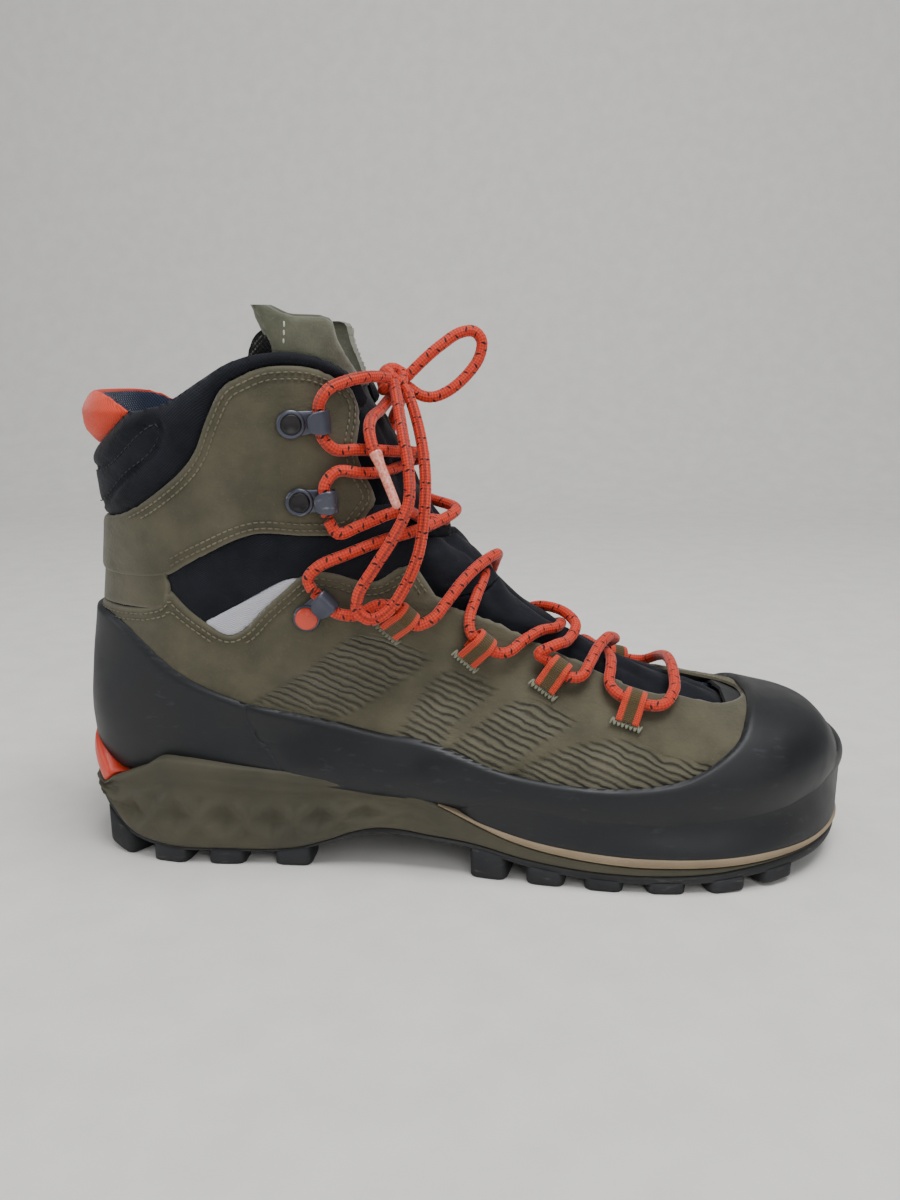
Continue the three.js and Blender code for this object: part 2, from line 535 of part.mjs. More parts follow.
function makeHookSolid() {
  const floor = seatLift + hook.plate;
  const bendX = hook.length - hook.bendRadius - hook.plate;
  const bendHeight = floor + hook.bendRadius;
  const shape = new THREE.Shape();
  shape.moveTo(1, seatLift);
  shape.lineTo(bendX, seatLift);
  shape.absarc(bendX, bendHeight, hook.bendRadius + hook.plate, -Math.PI / 2, Math.PI / 2, false);
  shape.lineTo(0.5, bendHeight + hook.bendRadius + hook.plate + hook.flare);
  shape.lineTo(0.5, bendHeight + hook.bendRadius + hook.flare);
  shape.lineTo(bendX, bendHeight + hook.bendRadius);
  shape.absarc(bendX, bendHeight, hook.bendRadius, Math.PI / 2, -Math.PI / 2, true);
  shape.lineTo(1, floor);
  shape.closePath();
  return seatProfile(shape, hook.width)
    .add(seatDisc(hook.plateRadius, seatLift, floor))
    .subtract(seatDisc(hook.holeRadius, 0, floor + 1, 12));
}

function makeRivetGeometry() {
  const under = seatLift + hook.plate + gap;
  const profile = [[0, seatLift], [rivet.shankRadius, seatLift], [rivet.shankRadius, under],
    [rivet.headRadius, under], [rivet.headRadius * 0.85, under + rivet.headHeight * 0.7],
    [rivet.headRadius * 0.45, under + rivet.headHeight], [0, under + rivet.headHeight]];
  return toSolid(new THREE.LatheGeometry(profile.map(([r, y]) => new THREE.Vector2(r, y)), 14));
}

const hookPlaces = [
  { x: -62, z: 173, angle: 0.08, look: 'metal' },
  { x: -60, z: 145, angle: 0.05, look: 'metal' },
  { x: -59, z: 101, angle: 0.75, look: 'orange' },
];

const hookFootprint = { back: -hook.plateRadius, front: hook.length, halfWidth: hook.plateRadius };

function makeHooks() {
  for (const [name, side] of Object.entries(sideNames)) {
    hookPlaces.forEach((place, index) => {
      const seat = seatOnUpper(place, side, hookFootprint);
      addSeated(`hook_${name}_${index + 1}`, makeHookSolid(), 'metal', seat);
      addSeated(`rivet_${name}_${index + 1}`, makeRivetGeometry(), place.look, seat);
    });
  }
}

const eyeletPlaces = [
  { x: -23, z: 101, angle: 0.8 },
  { x: 6, z: 88.5, angle: 0.85 },
  { x: 36, z: 76, angle: 1.0 },
  { x: 65, z: 65.5, angle: 1.3 },
];

function makeEyeletSolid() {
  const outer = webbing.eyeRadius + webbing.eyeWall;
  const shape = new THREE.Shape();
  shape.moveTo(-webbing.length, seatLift);
  shape.lineTo(0, seatLift);
  shape.absarc(0, seatLift + outer, outer, -Math.PI / 2, Math.PI * 0.75, false);
  shape.lineTo(-webbing.length * 0.5, seatLift + webbing.thickness);
  shape.lineTo(-webbing.length, seatLift + webbing.thickness);
  shape.closePath();
  const eye = new THREE.Path();
  eye.absarc(0, seatLift + outer, webbing.eyeRadius, 0, Math.PI * 2, true);
  shape.holes.push(eye);
  return seatProfile(shape, webbing.width);
}

const eyeletFootprint = { back: -webbing.length, front: webbing.eyeRadius, halfWidth: webbing.width / 2 };

function makeEyelets() {
  for (const [name, side] of Object.entries(sideNames)) {
    eyeletPlaces.forEach((place, index) => {
      const seat = seatOnUpper(place, side, eyeletFootprint);
      addSeated(`webbing_eyelet_${name}_${index + 1}`, makeEyeletSolid(), 'leather', seat);
    });
  }
}

// ---------- lace ----------
// Routes are in millimetres at the boot's own size. The lace is one cord: it runs from one locking hook
// through the webbing eyelets and back to the other (lower), over the ankle, and up the cuff to the knot.
const laceLowerRoute = [
  [-55, -38, 111.5], [-51.5, -37, 107.5], [-47.5, -36.5, 103.5], [-40, -36, 102.5], [-32, -34.5, 106],
  [-26, -32.5, 105], [-22, -32, 101], [-18, -31, 97.5], [-11.5, -29.5, 100], [-7, -26, 105],
  [0, -18.5, 113], [7, -9, 118], [12.5, 1, 119.5], [12, 10, 115.5], [7, 24, 101.5], [1, 29.5, 96.5],
  [3, 28, 93.5], [7, 28, 90], [11.5, 28, 86.5], [17.5, 26.5, 86.5], [23.5, 20, 91.5], [31, 12, 95.5],
  [40, 4, 95], [44.5, -4, 91.5], [41, -12.5, 87.5], [35.5, -20.5, 87.5], [29, -22.5, 84.5],
  [32, -22, 82], [36.5, -24, 79], [40.5, -26, 76.5], [45.5, -25, 76.5], [49.5, -18.5, 80.5],
  [53.5, -9, 84], [58, 0, 85.5], [62, 9, 82.5], [60, 19, 78], [56, 25.5, 74.5], [60, 28, 70.5],
  [65.5, 29, 69], [70.5, 30.5, 67.5], [77, 29, 67.5], [82, 23.5, 71], [83.5, 12, 74.5], [83.5, -1, 76],
  [83, -13, 74.5], [81.5, -24, 71], [76.5, -31, 67.5], [70.5, -32, 67.5], [65.5, -31, 69],
  [60, -29.5, 70.5], [56.5, -26, 73.5], [57.5, -18, 77.5], [58.5, -8, 79], [57, 1, 79.5],
  [53.5, 9, 79.5], [49.5, 20, 79], [46, 25, 74.5], [41.5, 26, 75.5], [37, 25.5, 78], [32, 24.5, 81],
  [31.5, 20, 87], [35, 11.5, 88], [39, 3, 90.5], [36.5, -5, 90.5], [30, -12, 91], [23, -20, 89],
  [17, -24.5, 85.5], [11.5, -25.5, 86], [7.5, -25.5, 89.5], [3, -26, 93], [2, -24, 98],
  [4.5, -16.5, 105.5], [7.5, -7, 112], [8.5, 1, 114], [3.5, 9.5, 116], [-2, 17, 113.5],
  [-8.5, 28.5, 106], [-13, 32.5, 99.5], [-18, 33.5, 97], [-22, 34.5, 101], [-26, 35.5, 104.5],
  [-32, 37, 105.5], [-40, 38.5, 102], [-47.5, 39, 103.5], [-51.5, 40, 107.5], [-55, 40.5, 111.5],
];
const laceAnkleLateralRoute = [
  [-55.7, -39, 112.6], [-57, -39.5, 117], [-53, -39, 121.5], [-43, -35.5, 125.5], [-30, -30, 130],
  [-19, -24, 132.5], [-12, -14, 134], [-4, 1, 137.5], [-14, 14, 139.5], [-24.5, 28, 140.5],
  [-38, 36, 137.5], [-46, 39.5, 133.5], [-49.2, 40.3, 138.4],
];
const laceAnkleMedialRoute = [
  [-55.7, 41.3, 112.6], [-57, 42, 117], [-53, 41.5, 121.5], [-43, 38, 125.5], [-30, 32.5, 130],
  [-17, 26.5, 130], [-12.5, 14.5, 131.5], [-8.5, 1, 133], [-17, -12.5, 136], [-23.5, -29, 141],
  [-38, -33.5, 136], [-46, -37, 133.5], [-49.2, -37.8, 138.4],
];
const laceUpperLateralRoute = [
  [-49.5, -38, 140], [-49.5, -38.5, 145.5], [-50, -39, 151], [-46, -36.5, 156], [-37, -31, 155],
  [-30, -17.5, 154.5], [-22.5, 1, 157], [-25.5, 8.5, 160], [-30, 15.5, 162], [-39.5, 32.5, 164], [-46.5, 38, 164.5],
  [-50.5, 40, 168.5], [-51, 40.5, 174], [-51.5, 40.5, 179.5], [-49, 39.5, 184.5], [-44, 33, 187.5],
  [-35.5, 22, 189.5], [-30, 9.5, 189],
];
const laceUpperMedialRoute = [
  [-49.5, 40.5, 140], [-49.5, 41, 145], [-50, 41.5, 150.5], [-46, 39, 156], [-37, 33, 155],
  [-27.5, 18.5, 155], [-20, 9, 156.5], [-17, 1, 159.5], [-29, -17.5, 162], [-39.5, -30, 163.5], [-46.5, -35.5, 164],
  [-50.5, -37.5, 168.5], [-51, -37.5, 174], [-51.5, -37.5, 179.5], [-49, -36.5, 184.5],
  [-44, -30.5, 187.5], [-35.5, -20, 189.5], [-30, -9.5, 189],
];
// The bow: loops and tails leave the knot and hang free.
const bowLoopUpRoute = [[-22.4, 1.9, 190.3], [-16, 4, 196.5], [-10, 6, 201.5], [-3, 8, 206], [2.5, 9, 206.5],
  [5.5, 9, 203], [4.5, 8.5, 196.5], [-0.5, 7, 189.5], [-7, 5, 184], [-13, 4, 181.5], [-18, 3.5, 182],
  [-22.3, 2.9, 184.8]];
const bowLoopDownRoute = [[-27.15, -8.9, 185.6], [-25, -18, 178], [-22.5, -27, 168], [-20, -33, 156], [-20, -37, 144],
  [-25, -40, 133], [-32, -42, 122], [-38, -43, 112], [-38.5, -43, 106], [-34, -42.5, 102.5], [-28, -41.5, 105],
  [-22, -39.5, 113], [-16.5, -36.5, 126], [-14.5, -32, 141], [-14.5, -26, 154], [-16.5, -18, 166], [-19.5, -11, 176],
  [-22.4, -5.8, 183]];
const tailLateralRoute = [[-29.9, -5, 180.7], [-32.5, -13, 177], [-34.5, -23, 174.5], [-34.5, -31, 171],
  [-33, -36, 166], [-31, -37.5, 161.5]];
const tailMedialRoute = [[-28, 9.5, 184.6], [-28, 20, 179], [-32, 30, 172], [-34, 35, 163], [-33.5, 37.5, 153],
  [-30, 38, 144], [-26, 37, 137]];
const knotCentre = [-29, 0, 188];
const knotSize = [6, 8.5, 6.5];

/** A lace tube along a route, about one ring of sides every ringSpacing. */
function laceTube(route, ringSpacing = 3.6 * lace.radius) {
  const curve = new THREE.CatmullRomCurve3(route.map((point) => new THREE.Vector3(...point)), false, 'centripetal');
  const section = new THREE.Shape();
  for (let i = 0; i < lace.sides; i += 1) {
    const angle = (2 * Math.PI * i) / lace.sides;
    const [x, y] = [lace.radius * Math.cos(angle), lace.radius * Math.sin(angle)];
    section[i === 0 ? 'moveTo' : 'lineTo'](x, y);
  }
  section.closePath();
  const steps = Math.ceil(curve.getLength() / ringSpacing);
  return toSolid(new THREE.ExtrudeGeometry(section, { steps, extrudePath: curve, bevelEnabled: false }));
}

/** The clear tip on a tail, carrying on in the direction of the tail's last two points. */
function makeAglet(name, route) {
  const [before, end] = route.slice(-2).map((point) => new THREE.Vector3(...point));
  const direction = end.clone().sub(before).normalize();
  const solid = toSolid(new THREE.CylinderGeometry(aglet.radius * 0.85, aglet.radius, aglet.length, 10));
  const mesh = addNode(name, solid, 'clear');
  mesh.quaternion.setFromUnitVectors(new THREE.Vector3(0, 1, 0), direction);
  mesh.position.copy(end).addScaledVector(direction, gap + aglet.length / 2);
}

function makeLaces() {
  const routes = {
    lace_lower: laceLowerRoute,
    lace_ankle_lateral: laceAnkleLateralRoute,
    lace_ankle_medial: laceAnkleMedialRoute,
    lace_upper_lateral: laceUpperLateralRoute,
    lace_upper_medial: laceUpperMedialRoute,
    bow_loop_up: bowLoopUpRoute,
    bow_loop_down: bowLoopDownRoute,
    lace_tail_lateral: tailLateralRoute,
    lace_tail_medial: tailMedialRoute,
  };
  for (const [name, route] of Object.entries(routes)) {
    addNode(name, laceTube(route), 'orange');
  }
  const knot = new THREE.SphereGeometry(1, 12, 8);
  knot.scale(...knotSize);
  knot.translate(...knotCentre);
  addNode('knot', toSolid(knot), 'orange');
  makeAglet('aglet_lateral', tailLateralRoute);
  makeAglet('aglet_medial', tailMedialRoute);
}

makeSole();
makeInsole();
makeLowerUpper();
makeAnkle();
makeCuff();
makeTongue();
makeHooks();
makeEyelets();
makeLaces();

export default boot;
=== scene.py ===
"""Right mountaineering boot: the visual model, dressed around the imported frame.

Millimetres are used in every class and turned to metres when a mesh is made. The upper is one smooth
surface of two parameters (a fractional station number and an angle round the section). Each panel is
cut from a fine grid on it by a side-view pattern line, and becomes a closed shell of its own thickness.
"""
import logging
import math
from collections.abc import Callable, Sequence
from dataclasses import dataclass, field
from enum import Enum
from functools import partial

import bpy
import numpy as np
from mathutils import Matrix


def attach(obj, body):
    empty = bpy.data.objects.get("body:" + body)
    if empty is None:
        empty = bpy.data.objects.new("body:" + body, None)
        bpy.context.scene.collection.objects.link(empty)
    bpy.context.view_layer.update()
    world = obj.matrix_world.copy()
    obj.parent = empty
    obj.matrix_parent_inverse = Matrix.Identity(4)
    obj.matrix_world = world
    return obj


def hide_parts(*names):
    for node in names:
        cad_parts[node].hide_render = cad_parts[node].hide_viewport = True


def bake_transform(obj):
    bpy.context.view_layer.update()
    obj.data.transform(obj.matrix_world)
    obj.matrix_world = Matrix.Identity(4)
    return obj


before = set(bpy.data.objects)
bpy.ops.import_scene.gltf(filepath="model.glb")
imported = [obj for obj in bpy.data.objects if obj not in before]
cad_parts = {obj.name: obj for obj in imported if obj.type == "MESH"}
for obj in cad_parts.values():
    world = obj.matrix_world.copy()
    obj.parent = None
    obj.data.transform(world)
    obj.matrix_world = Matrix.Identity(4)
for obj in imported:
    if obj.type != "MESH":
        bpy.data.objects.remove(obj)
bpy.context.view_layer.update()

logging.basicConfig(level=logging.INFO, format="%(levelname)s %(message)s")
log = logging.getLogger("boot")

MM = 0.001
Array = np.ndarray
Relief = Callable[["PanelPoints"], Array]
LATERAL, MEDIAL = -1, 1
SIDES = {"lateral": LATERAL, "medial": MEDIAL}


class Body(str, Enum):
    """The moving bodies of the frame."""

    LOWER = "lower"
    CUFF = "cuff"
    TONGUE = "tongue"
    FOOTBED = "footbed"


# ---------- the outer surface ----------
# One row per station: heel or bottom point (x, z), instep or top point (x, z), half width, sideways
# shift, height of the widest place, roundness below it, roundness above it.
STATIONS = np.array([
    [-147, 214, -34, 214, 45, 0, 0.48, 2.3, 2.2],
    [-147, 186, -33, 187, 43.5, 0, 0.48, 2.3, 2.2],
    [-146, 162, -23, 163, 41, 0, 0.47, 2.2, 2.1],
    [-145, 140, -10, 140, 38.5, 0, 0.45, 2.2, 2.0],
    [-147, 118, 6, 122, 36.5, 0, 0.44, 2.2, 2.0],
    [-149, 98, 16, 112.5, 35.5, 0, 0.42, 2.3, 2.0],
    [-152, 76, 26, 103, 34.5, 0, 0.40, 2.4, 2.0],
    [-153, 53, 36, 96, 34, 0, 0.38, 2.6, 2.0],
    [-147, 34, 46, 90, 34, 0, 0.36, 2.8, 2.0],
    [-122, 30, 57, 84, 35, -0.5, 0.34, 3.0, 2.0],
    [-82, 29, 69, 78.5, 37, -1.5, 0.32, 3.0, 2.0],
    [-38, 27, 82, 74.5, 40.5, -2, 0.32, 3.0, 2.0],
    [6, 22, 96, 70, 45, -1.5, 0.30, 3.0, 2.1],
    [46, 17, 110, 65.5, 48.5, -0.5, 0.30, 3.0, 2.2],
    [80, 15, 122, 62, 48, 1, 0.32, 3.0, 2.3],
    [108, 16.5, 134, 58.5, 43, 2.5, 0.36, 3.0, 2.4],
    [128, 20, 142.5, 54, 34, 4, 0.42, 2.8, 2.4],
    [141, 25, 149, 46, 21, 5, 0.48, 2.4, 2.2],
])
LAST_STATION = len(STATIONS) - 1


@dataclass(frozen=True)
class UpperSurface:
    """The outer surface of the leather, as a function of station number and section angle.

    Attributes:
        centre_shift: Move of the whole boot in y, mm.
        toe: The toe's foremost point, mm.
        step: Step of the central differences that give the tangents.
        dome_start: Angle on the quarter ellipse at which the toe's dome takes over, radians.
    """

    centre_shift: float = 1.2
    toe: tuple[float, float, float] = (153.2, 6.2, 36.0)
    step: float = 0.012
    dome_start: float = 0.72

    def fields(self, position: Array) -> Array:
        """Cubic Hermite values of the station fields, with slopes of half the neighbours' difference.

        Args:
            position: Fractional station numbers, any shape.

        Returns:
            The nine fields along a new last axis.
        """
        index = np.clip(np.floor(position).astype(int), 0, LAST_STATION - 1)
        part = (position - index)[..., None]
        a, b, c, d = (STATIONS[np.clip(index + i, 0, LAST_STATION)] for i in (-1, 0, 1, 2))
        p2, p3 = part**2, part**3
        return (b * (2 * p3 - 3 * p2 + 1) + (c - a) / 2 * (p3 - 2 * p2 + part)
                + c * (3 * p2 - 2 * p3) + (d - b) / 2 * (p3 - p2))

    def point(self, position: Array, angle: Array) -> Array:
        """Points of the surface.

        A section is two half superellipses joined at its widest place: below it the height goes as
        1 - |cos|^(2/low) and the width as |sin|^(2/low), above it the same with the upper roundness.
        Past the last station the section shrinks as a quarter ellipse to the toe point.

        Args:
            position: Fractional station numbers, up to one past the last for the toe's dome.
            angle: Section angles, 0 at the bottom or back, pi at the top or front.

        Returns:
            Points in mm along a new last axis.
        """
        value = self.fields(np.minimum(position, LAST_STATION))
        hx, hz, tx, tz, half, shift, wide, low, high = np.moveaxis(value, -1, 0)
        cosine, sine = np.cos(angle), np.sin(angle)
        lower = cosine >= 0
        power = 2 / np.where(lower, low, high)
        rise, width = np.abs(cosine) ** power, np.abs(sine) ** power
        along = np.where(lower, wide * (1 - rise), wide + (1 - wide) * rise)
        side = np.where(sine >= 0, LATERAL, MEDIAL)
        points = np.stack([hx + (tx - hx) * along, self.centre_shift + shift + side * half * width,
                           hz + (tz - hz) * along], -1)
        past = np.clip(position - LAST_STATION, 0, 1)[..., None]
        turn = self.dome_start + past * (math.pi / 2 - self.dome_start)
        narrow = np.cos(turn) / math.cos(self.dome_start)
        reach = (np.sin(turn) - math.sin(self.dome_start)) / (1 - math.sin(self.dome_start))
        centre = np.stack([(hx + tx) / 2, self.centre_shift + shift, (hz + tz) / 2], -1)
        dome = centre + (points - centre) * narrow + (np.array(self.toe) - centre) * reach
        return np.where(past > 0, dome, points)

    def tangents(self, position: Array, angle: Array) -> tuple[Array, Array]:
        """Central differences of the surface along its two parameters, in mm per unit.

        Args:
            position: Fractional station numbers.
            angle: Section angles.

        Returns:
            Both tangents.
        """
        h = self.step
        ahead, behind = np.minimum(position + h, LAST_STATION + 0.985), np.maximum(position - h, 0)
        along = (self.point(ahead, angle) - self.point(behind, angle)) / (ahead - behind)[..., None]
        around = (self.point(position, angle + h) - self.point(position, angle - h)) / (2 * h)
        return along, around

    def normal(self, position: Array, angle: Array) -> Array:
        """Unit normals that point out of the boot.

        Args:
            position: Fractional station numbers.
            angle: Section angles.

        Returns:
            Unit vectors.
        """
        along, around = self.tangents(np.minimum(position, LAST_STATION + 0.97), angle)
        normal = np.cross(around, along)
        normal /= np.maximum(np.linalg.norm(normal, axis=-1, keepdims=True), 1e-9)
        value = self.fields(np.minimum(position, LAST_STATION))
        wide = value[..., 6]
        middle = np.stack([value[..., 0] + (value[..., 2] - value[..., 0]) * wide,
                           self.centre_shift + value[..., 5],
                           value[..., 1] + (value[..., 3] - value[..., 1]) * wide], -1)
        outward = np.sum(normal * (self.point(position, angle) - middle), -1, keepdims=True)
        return np.where(outward < 0, -normal, normal)


SURFACE = UpperSurface()


# ---------- pattern lines ----------
Line = Sequence[tuple[float, float]]
BACK, FRONT = -190, 190


def smooth(line: Line, samples: int = 6) -> Array:
    """A smooth line through pattern points: Catmull-Rom with centripetal spacing, end slopes held.

    Args:
        line: Points (x, z) in mm.
        samples: Points per span.

    Returns:
        The sampled line as rows of (x, z).
    """
    points = np.asarray(line, float)
    if len(points) < 3:
        return points
    padded = np.vstack([2 * points[0] - points[1], points, 2 * points[-1] - points[-2]])
    p0, p1, p2, p3 = padded[:-3], padded[1:-2], padded[2:-1], padded[3:]
    knots = [np.maximum(np.linalg.norm(b - a, axis=1) ** 0.5, 1e-6)
             for a, b in ((p0, p1), (p1, p2), (p2, p3))]
    t1 = knots[0][:, None]
    t2 = t1 + knots[1][:, None]
    t3 = t2 + knots[2][:, None]
    rows = []
    for part in np.arange(samples) / samples:
        t = t1 + (t2 - t1) * part
        a1 = p0 * (t1 - t) / t1 + p1 * t / t1
        a2 = p1 * (t2 - t) / (t2 - t1) + p2 * (t - t1) / (t2 - t1)
        a3 = p2 * (t3 - t) / (t3 - t2) + p3 * (t - t2) / (t3 - t2)
        b1 = a1 * (t2 - t) / t2 + a2 * t / t2
        b2 = a2 * (t3 - t) / (t3 - t1) + a3 * (t - t1) / (t3 - t1)
        rows.append(b1 * (t2 - t) / (t2 - t1) + b2 * (t - t1) / (t2 - t1))
    curve = np.stack(rows, 1).reshape(-1, points.shape[1])
    return np.vstack([curve, points[-1]])


def joined(*parts: Array | Line) -> Array:
    """One outline from parts in order; a part is an array or a list of points."""
    return np.vstack([np.asarray(part, float) for part in parts])


BASE_LINE = smooth([(BACK, 37), (-147, 37), (-122, 33.4), (-82, 32.4), (-38, 30.4), (6, 25.4),
                    (46, 20.4), (80, 18.4), (108, 19.9), (128, 23.4), (141, 27.4), (FRONT, 32)])
SOLE_TOP = smooth([(BACK, 38.4), (-129, 38.4), (-119, 44), (-110, 44), (-86, 41.5), (-49, 38), (-24, 34),
                   (-8, 29), (7, 23), (29, 17.5), (52, 15), (76, 14.2), (96, 14.2), (118, 14.6),
                   (132, 14.8), (145, 15.2), (FRONT, 16)])
STRIPE_BOTTOM = smooth([(-10, 29), (18, 17), (40, 12.4), (62, 10.6), (78, 10.3), (94, 10.5), (116, 11.3),
                        (130, 12.2), (146, 13.4), (FRONT, 14.5)])
OUTSOLE_TOP = smooth([(BACK, 26), (-150, 24), (-143, 20), (-134, 11), (-119, 7.4), (-99, 6.9),
                      (-68, 7.4), (-52, 12), (-43, 15.5), (-33, 17.5), (-23, 17), (-13, 15.4), (5, 13.4),
                      (23, 9.8), (45, 7.3), (62, 6.8), (78, 6.8), (94, 7.6), (107, 9), (126, 10.6),
                      (146, 12.4), (FRONT, 14)])
OUTSOLE_BOTTOM = smooth([(BACK, 23), (-150, 20), (-143, 15), (-134, 8.6), (-119, 5.6), (-99, 5.3),
                         (-68, 5.8), (-52, 10.4), (-40, 14), (-28, 15), (-15, 13.6), (5, 11.4), (23, 7),
                         (45, 4), (62, 3.4), (78, 3.4), (94, 4), (107, 5.2), (126, 6.6), (146, 7.8),
                         (FRONT, 10)])
GROUND_LINE = smooth([(BACK, 14), (-152, 7), (-144, 2.5), (-134, 0), (95, 0), (108, 0.8), (120, 1.8),
                      (134, 3.2), (146, 4.6), (FRONT, 9)])
CUFF_TOP = smooth([(BACK, 136), (-146, 136), (-127, 140), (-105, 154), (-97, 163), (-92, 174),
                   (-85, 186), (-78, 190), (-70, 193), (-55, 193), (-48, 190), (-42, 186), (-39, 180)])
CUFF_FRONT = smooth([(-39, 173), (-40, 165), (-38, 156), (-34, 148), (-34, 143)])
CUFF_BOTTOM = smooth([(BACK, 115.5), (-115, 115.5), (-106, 120), (-96, 125), (-83, 131), (-75, 133),
                      (-58, 132), (-42, 133), (-37, 139)])
TAB_EDGE = smooth([(BACK, 163), (-147, 163), (-124, 176)])
TAB_TOP = smooth([(BACK, 184), (-142, 184), (-134, 182), (-126, 177.5)])
COLLAR_TOP = smooth([(-119, 177), (-107, 180), (-95, 187), (-83, 194), (-73, 197), (-60, 198),
                     (-48, 195), (-39, 189), (-35, 181)])
FLEX_TOP = joined(smooth([(BACK, 104), (-117, 104), (-113, 111)]),
                  smooth([(-113, 111), (-108, 105), (-99, 98), (-90, 93), (-84, 95), (-76, 103),
                          (-67, 111), (-61, 116), (-55, 118), (-48, 117), (-39, 114), (-32, 114),
                          (-23, 119), (-19, 120)]))
THROAT = smooth([(-11, 107.5), (-7, 103.5), (2, 99.5), (13, 95), (28, 87), (42, 81), (56, 75), (70, 70),
                 (85, 68), (100, 65), (113, 64.5)])
RAND_FRONT_TOP = smooth([(-84, 66), (-69, 63), (-31, 55), (-16, 53), (1, 48), (17, 43), (37, 40),
                         (55, 39), (70, 40), (81, 42), (89, 45), (98, 50), (105, 55), (109, 60),
                         (113, 64.5)])
RAND_HEEL_TOP = smooth([(BACK, 100), (-146, 100), (-134, 96), (-125, 89), (-113, 79), (-100, 72),
                        (-84, 66)])
RAND_SEAM = smooth([(-84, 66), (-78, 53), (-69, 38), (-66, 20)])
MESH_TOP = smooth([(-99, 98), (-84, 106), (-67, 115), (-61, 116)])
MESH_BOTTOM = smooth([(-99, 98), (-90, 93), (-84, 95), (-76, 103), (-67, 111), (-61, 116)])
# The lining is made in three parts that meet at these two lines.
LINING_LOW = smooth([(BACK, 99), (-112, 96), (-88, 90), (-60, 107), (-32, 111), (-18, 115)])
LINING_HIGH = smooth([(BACK, 117), (-115, 118), (-92, 130), (-60, 136), (-37, 141)])


def nearest_on(points: Array, line: Array, closed: bool = True) -> tuple[Array, Array, Array]:
    """Distance from side-view points to a line, with its direction and the place along the line.

    Args:
        points: Rows of (x, z).
        line: Rows of (x, z).
        closed: Whether the last point joins the first.

    Returns:
        Distances, unit vectors from the line to the points, and fractional segment numbers.
    """
    start = line if closed else line[:-1]
    end = np.roll(line, -1, 0) if closed else line[1:]
    span = end - start
    length2 = np.maximum(np.sum(span**2, 1), 1e-12)
    best = np.full(len(points), 1e9)
    away = np.zeros((len(points), 2))
    place = np.zeros(len(points))
    for number in range(len(start)):
        offset = points - start[number]
        part = np.clip(offset @ span[number] / length2[number], 0, 1)
        gap = offset - part[:, None] * span[number]
        distance = np.hypot(gap[:, 0], gap[:, 1])
        closer = distance < best
        best = np.where(closer, distance, best)
        away[closer] = gap[closer] / np.maximum(distance[closer], 1e-9)[:, None]
        place[closer] = number + part[closer]
    return best, away, place


def inside(points: Array, outline: Array) -> Array:
    """Whether side-view points lie in a closed outline, by counting the edges to their right.

    Args:
        points: Rows of (x, z).
        outline: Closed outline, rows of (x, z).

    Returns:
        True where a point is inside.
    """
    result = np.zeros(len(points), bool)
    for (x1, z1), (x2, z2) in zip(outline, np.roll(outline, -1, 0)):
        if z1 == z2:
            continue
        crosses = (points[:, 1] < z1) != (points[:, 1] < z2)
        result ^= crosses & (points[:, 0] < x1 + (points[:, 1] - z1) * (x2 - x1) / (z2 - z1))
    return result


# ---------- meshes ----------
@dataclass
class Shell:
    """A mesh in the making.

    Attributes:
        points: Vertices in mm.
        faces: Quads, with a repeated last index for a triangle.
        flat: Faces that keep a flat shade.
        edge: Distance of each vertex from its panel's edge, mm.
        uv: Place on the surface, mm, for patterns that follow it.
    """

    points: Array
    faces: Array
    flat: Array
    edge: Array
    uv: Array

    @staticmethod
    def of(points: Array, faces: Array, uv: Array | None = None, edge: Array | None = None) -> "Shell":
        """A shell with smooth faces and, where none are given, no edge distance and no surface place.

        Args:
            points: Vertices in mm.
            faces: Quads.
            uv: Place on the surface.
            edge: Distance from the panel's edge.

        Returns:
            The shell.
        """
        count = len(points)
        return Shell(np.asarray(points, float), np.asarray(faces, int), np.zeros(len(faces), bool),
                     np.full(count, 9.0) if edge is None else edge,
                     np.zeros((count, 2)) if uv is None else uv)

    @staticmethod
    def merge(shells: Sequence["Shell"]) -> "Shell":
        """Several shells as one mesh.

        Args:
            shells: The shells.

        Returns:
            One shell.
        """
        starts = np.cumsum([0] + [len(shell.points) for shell in shells[:-1]])
        return Shell(np.vstack([shell.points for shell in shells]),
                     np.vstack([shell.faces + start for shell, start in zip(shells, starts)]),
                     np.concatenate([shell.flat for shell in shells]),
                     np.concatenate([shell.edge for shell in shells]),
                     np.vstack([shell.uv for shell in shells]))


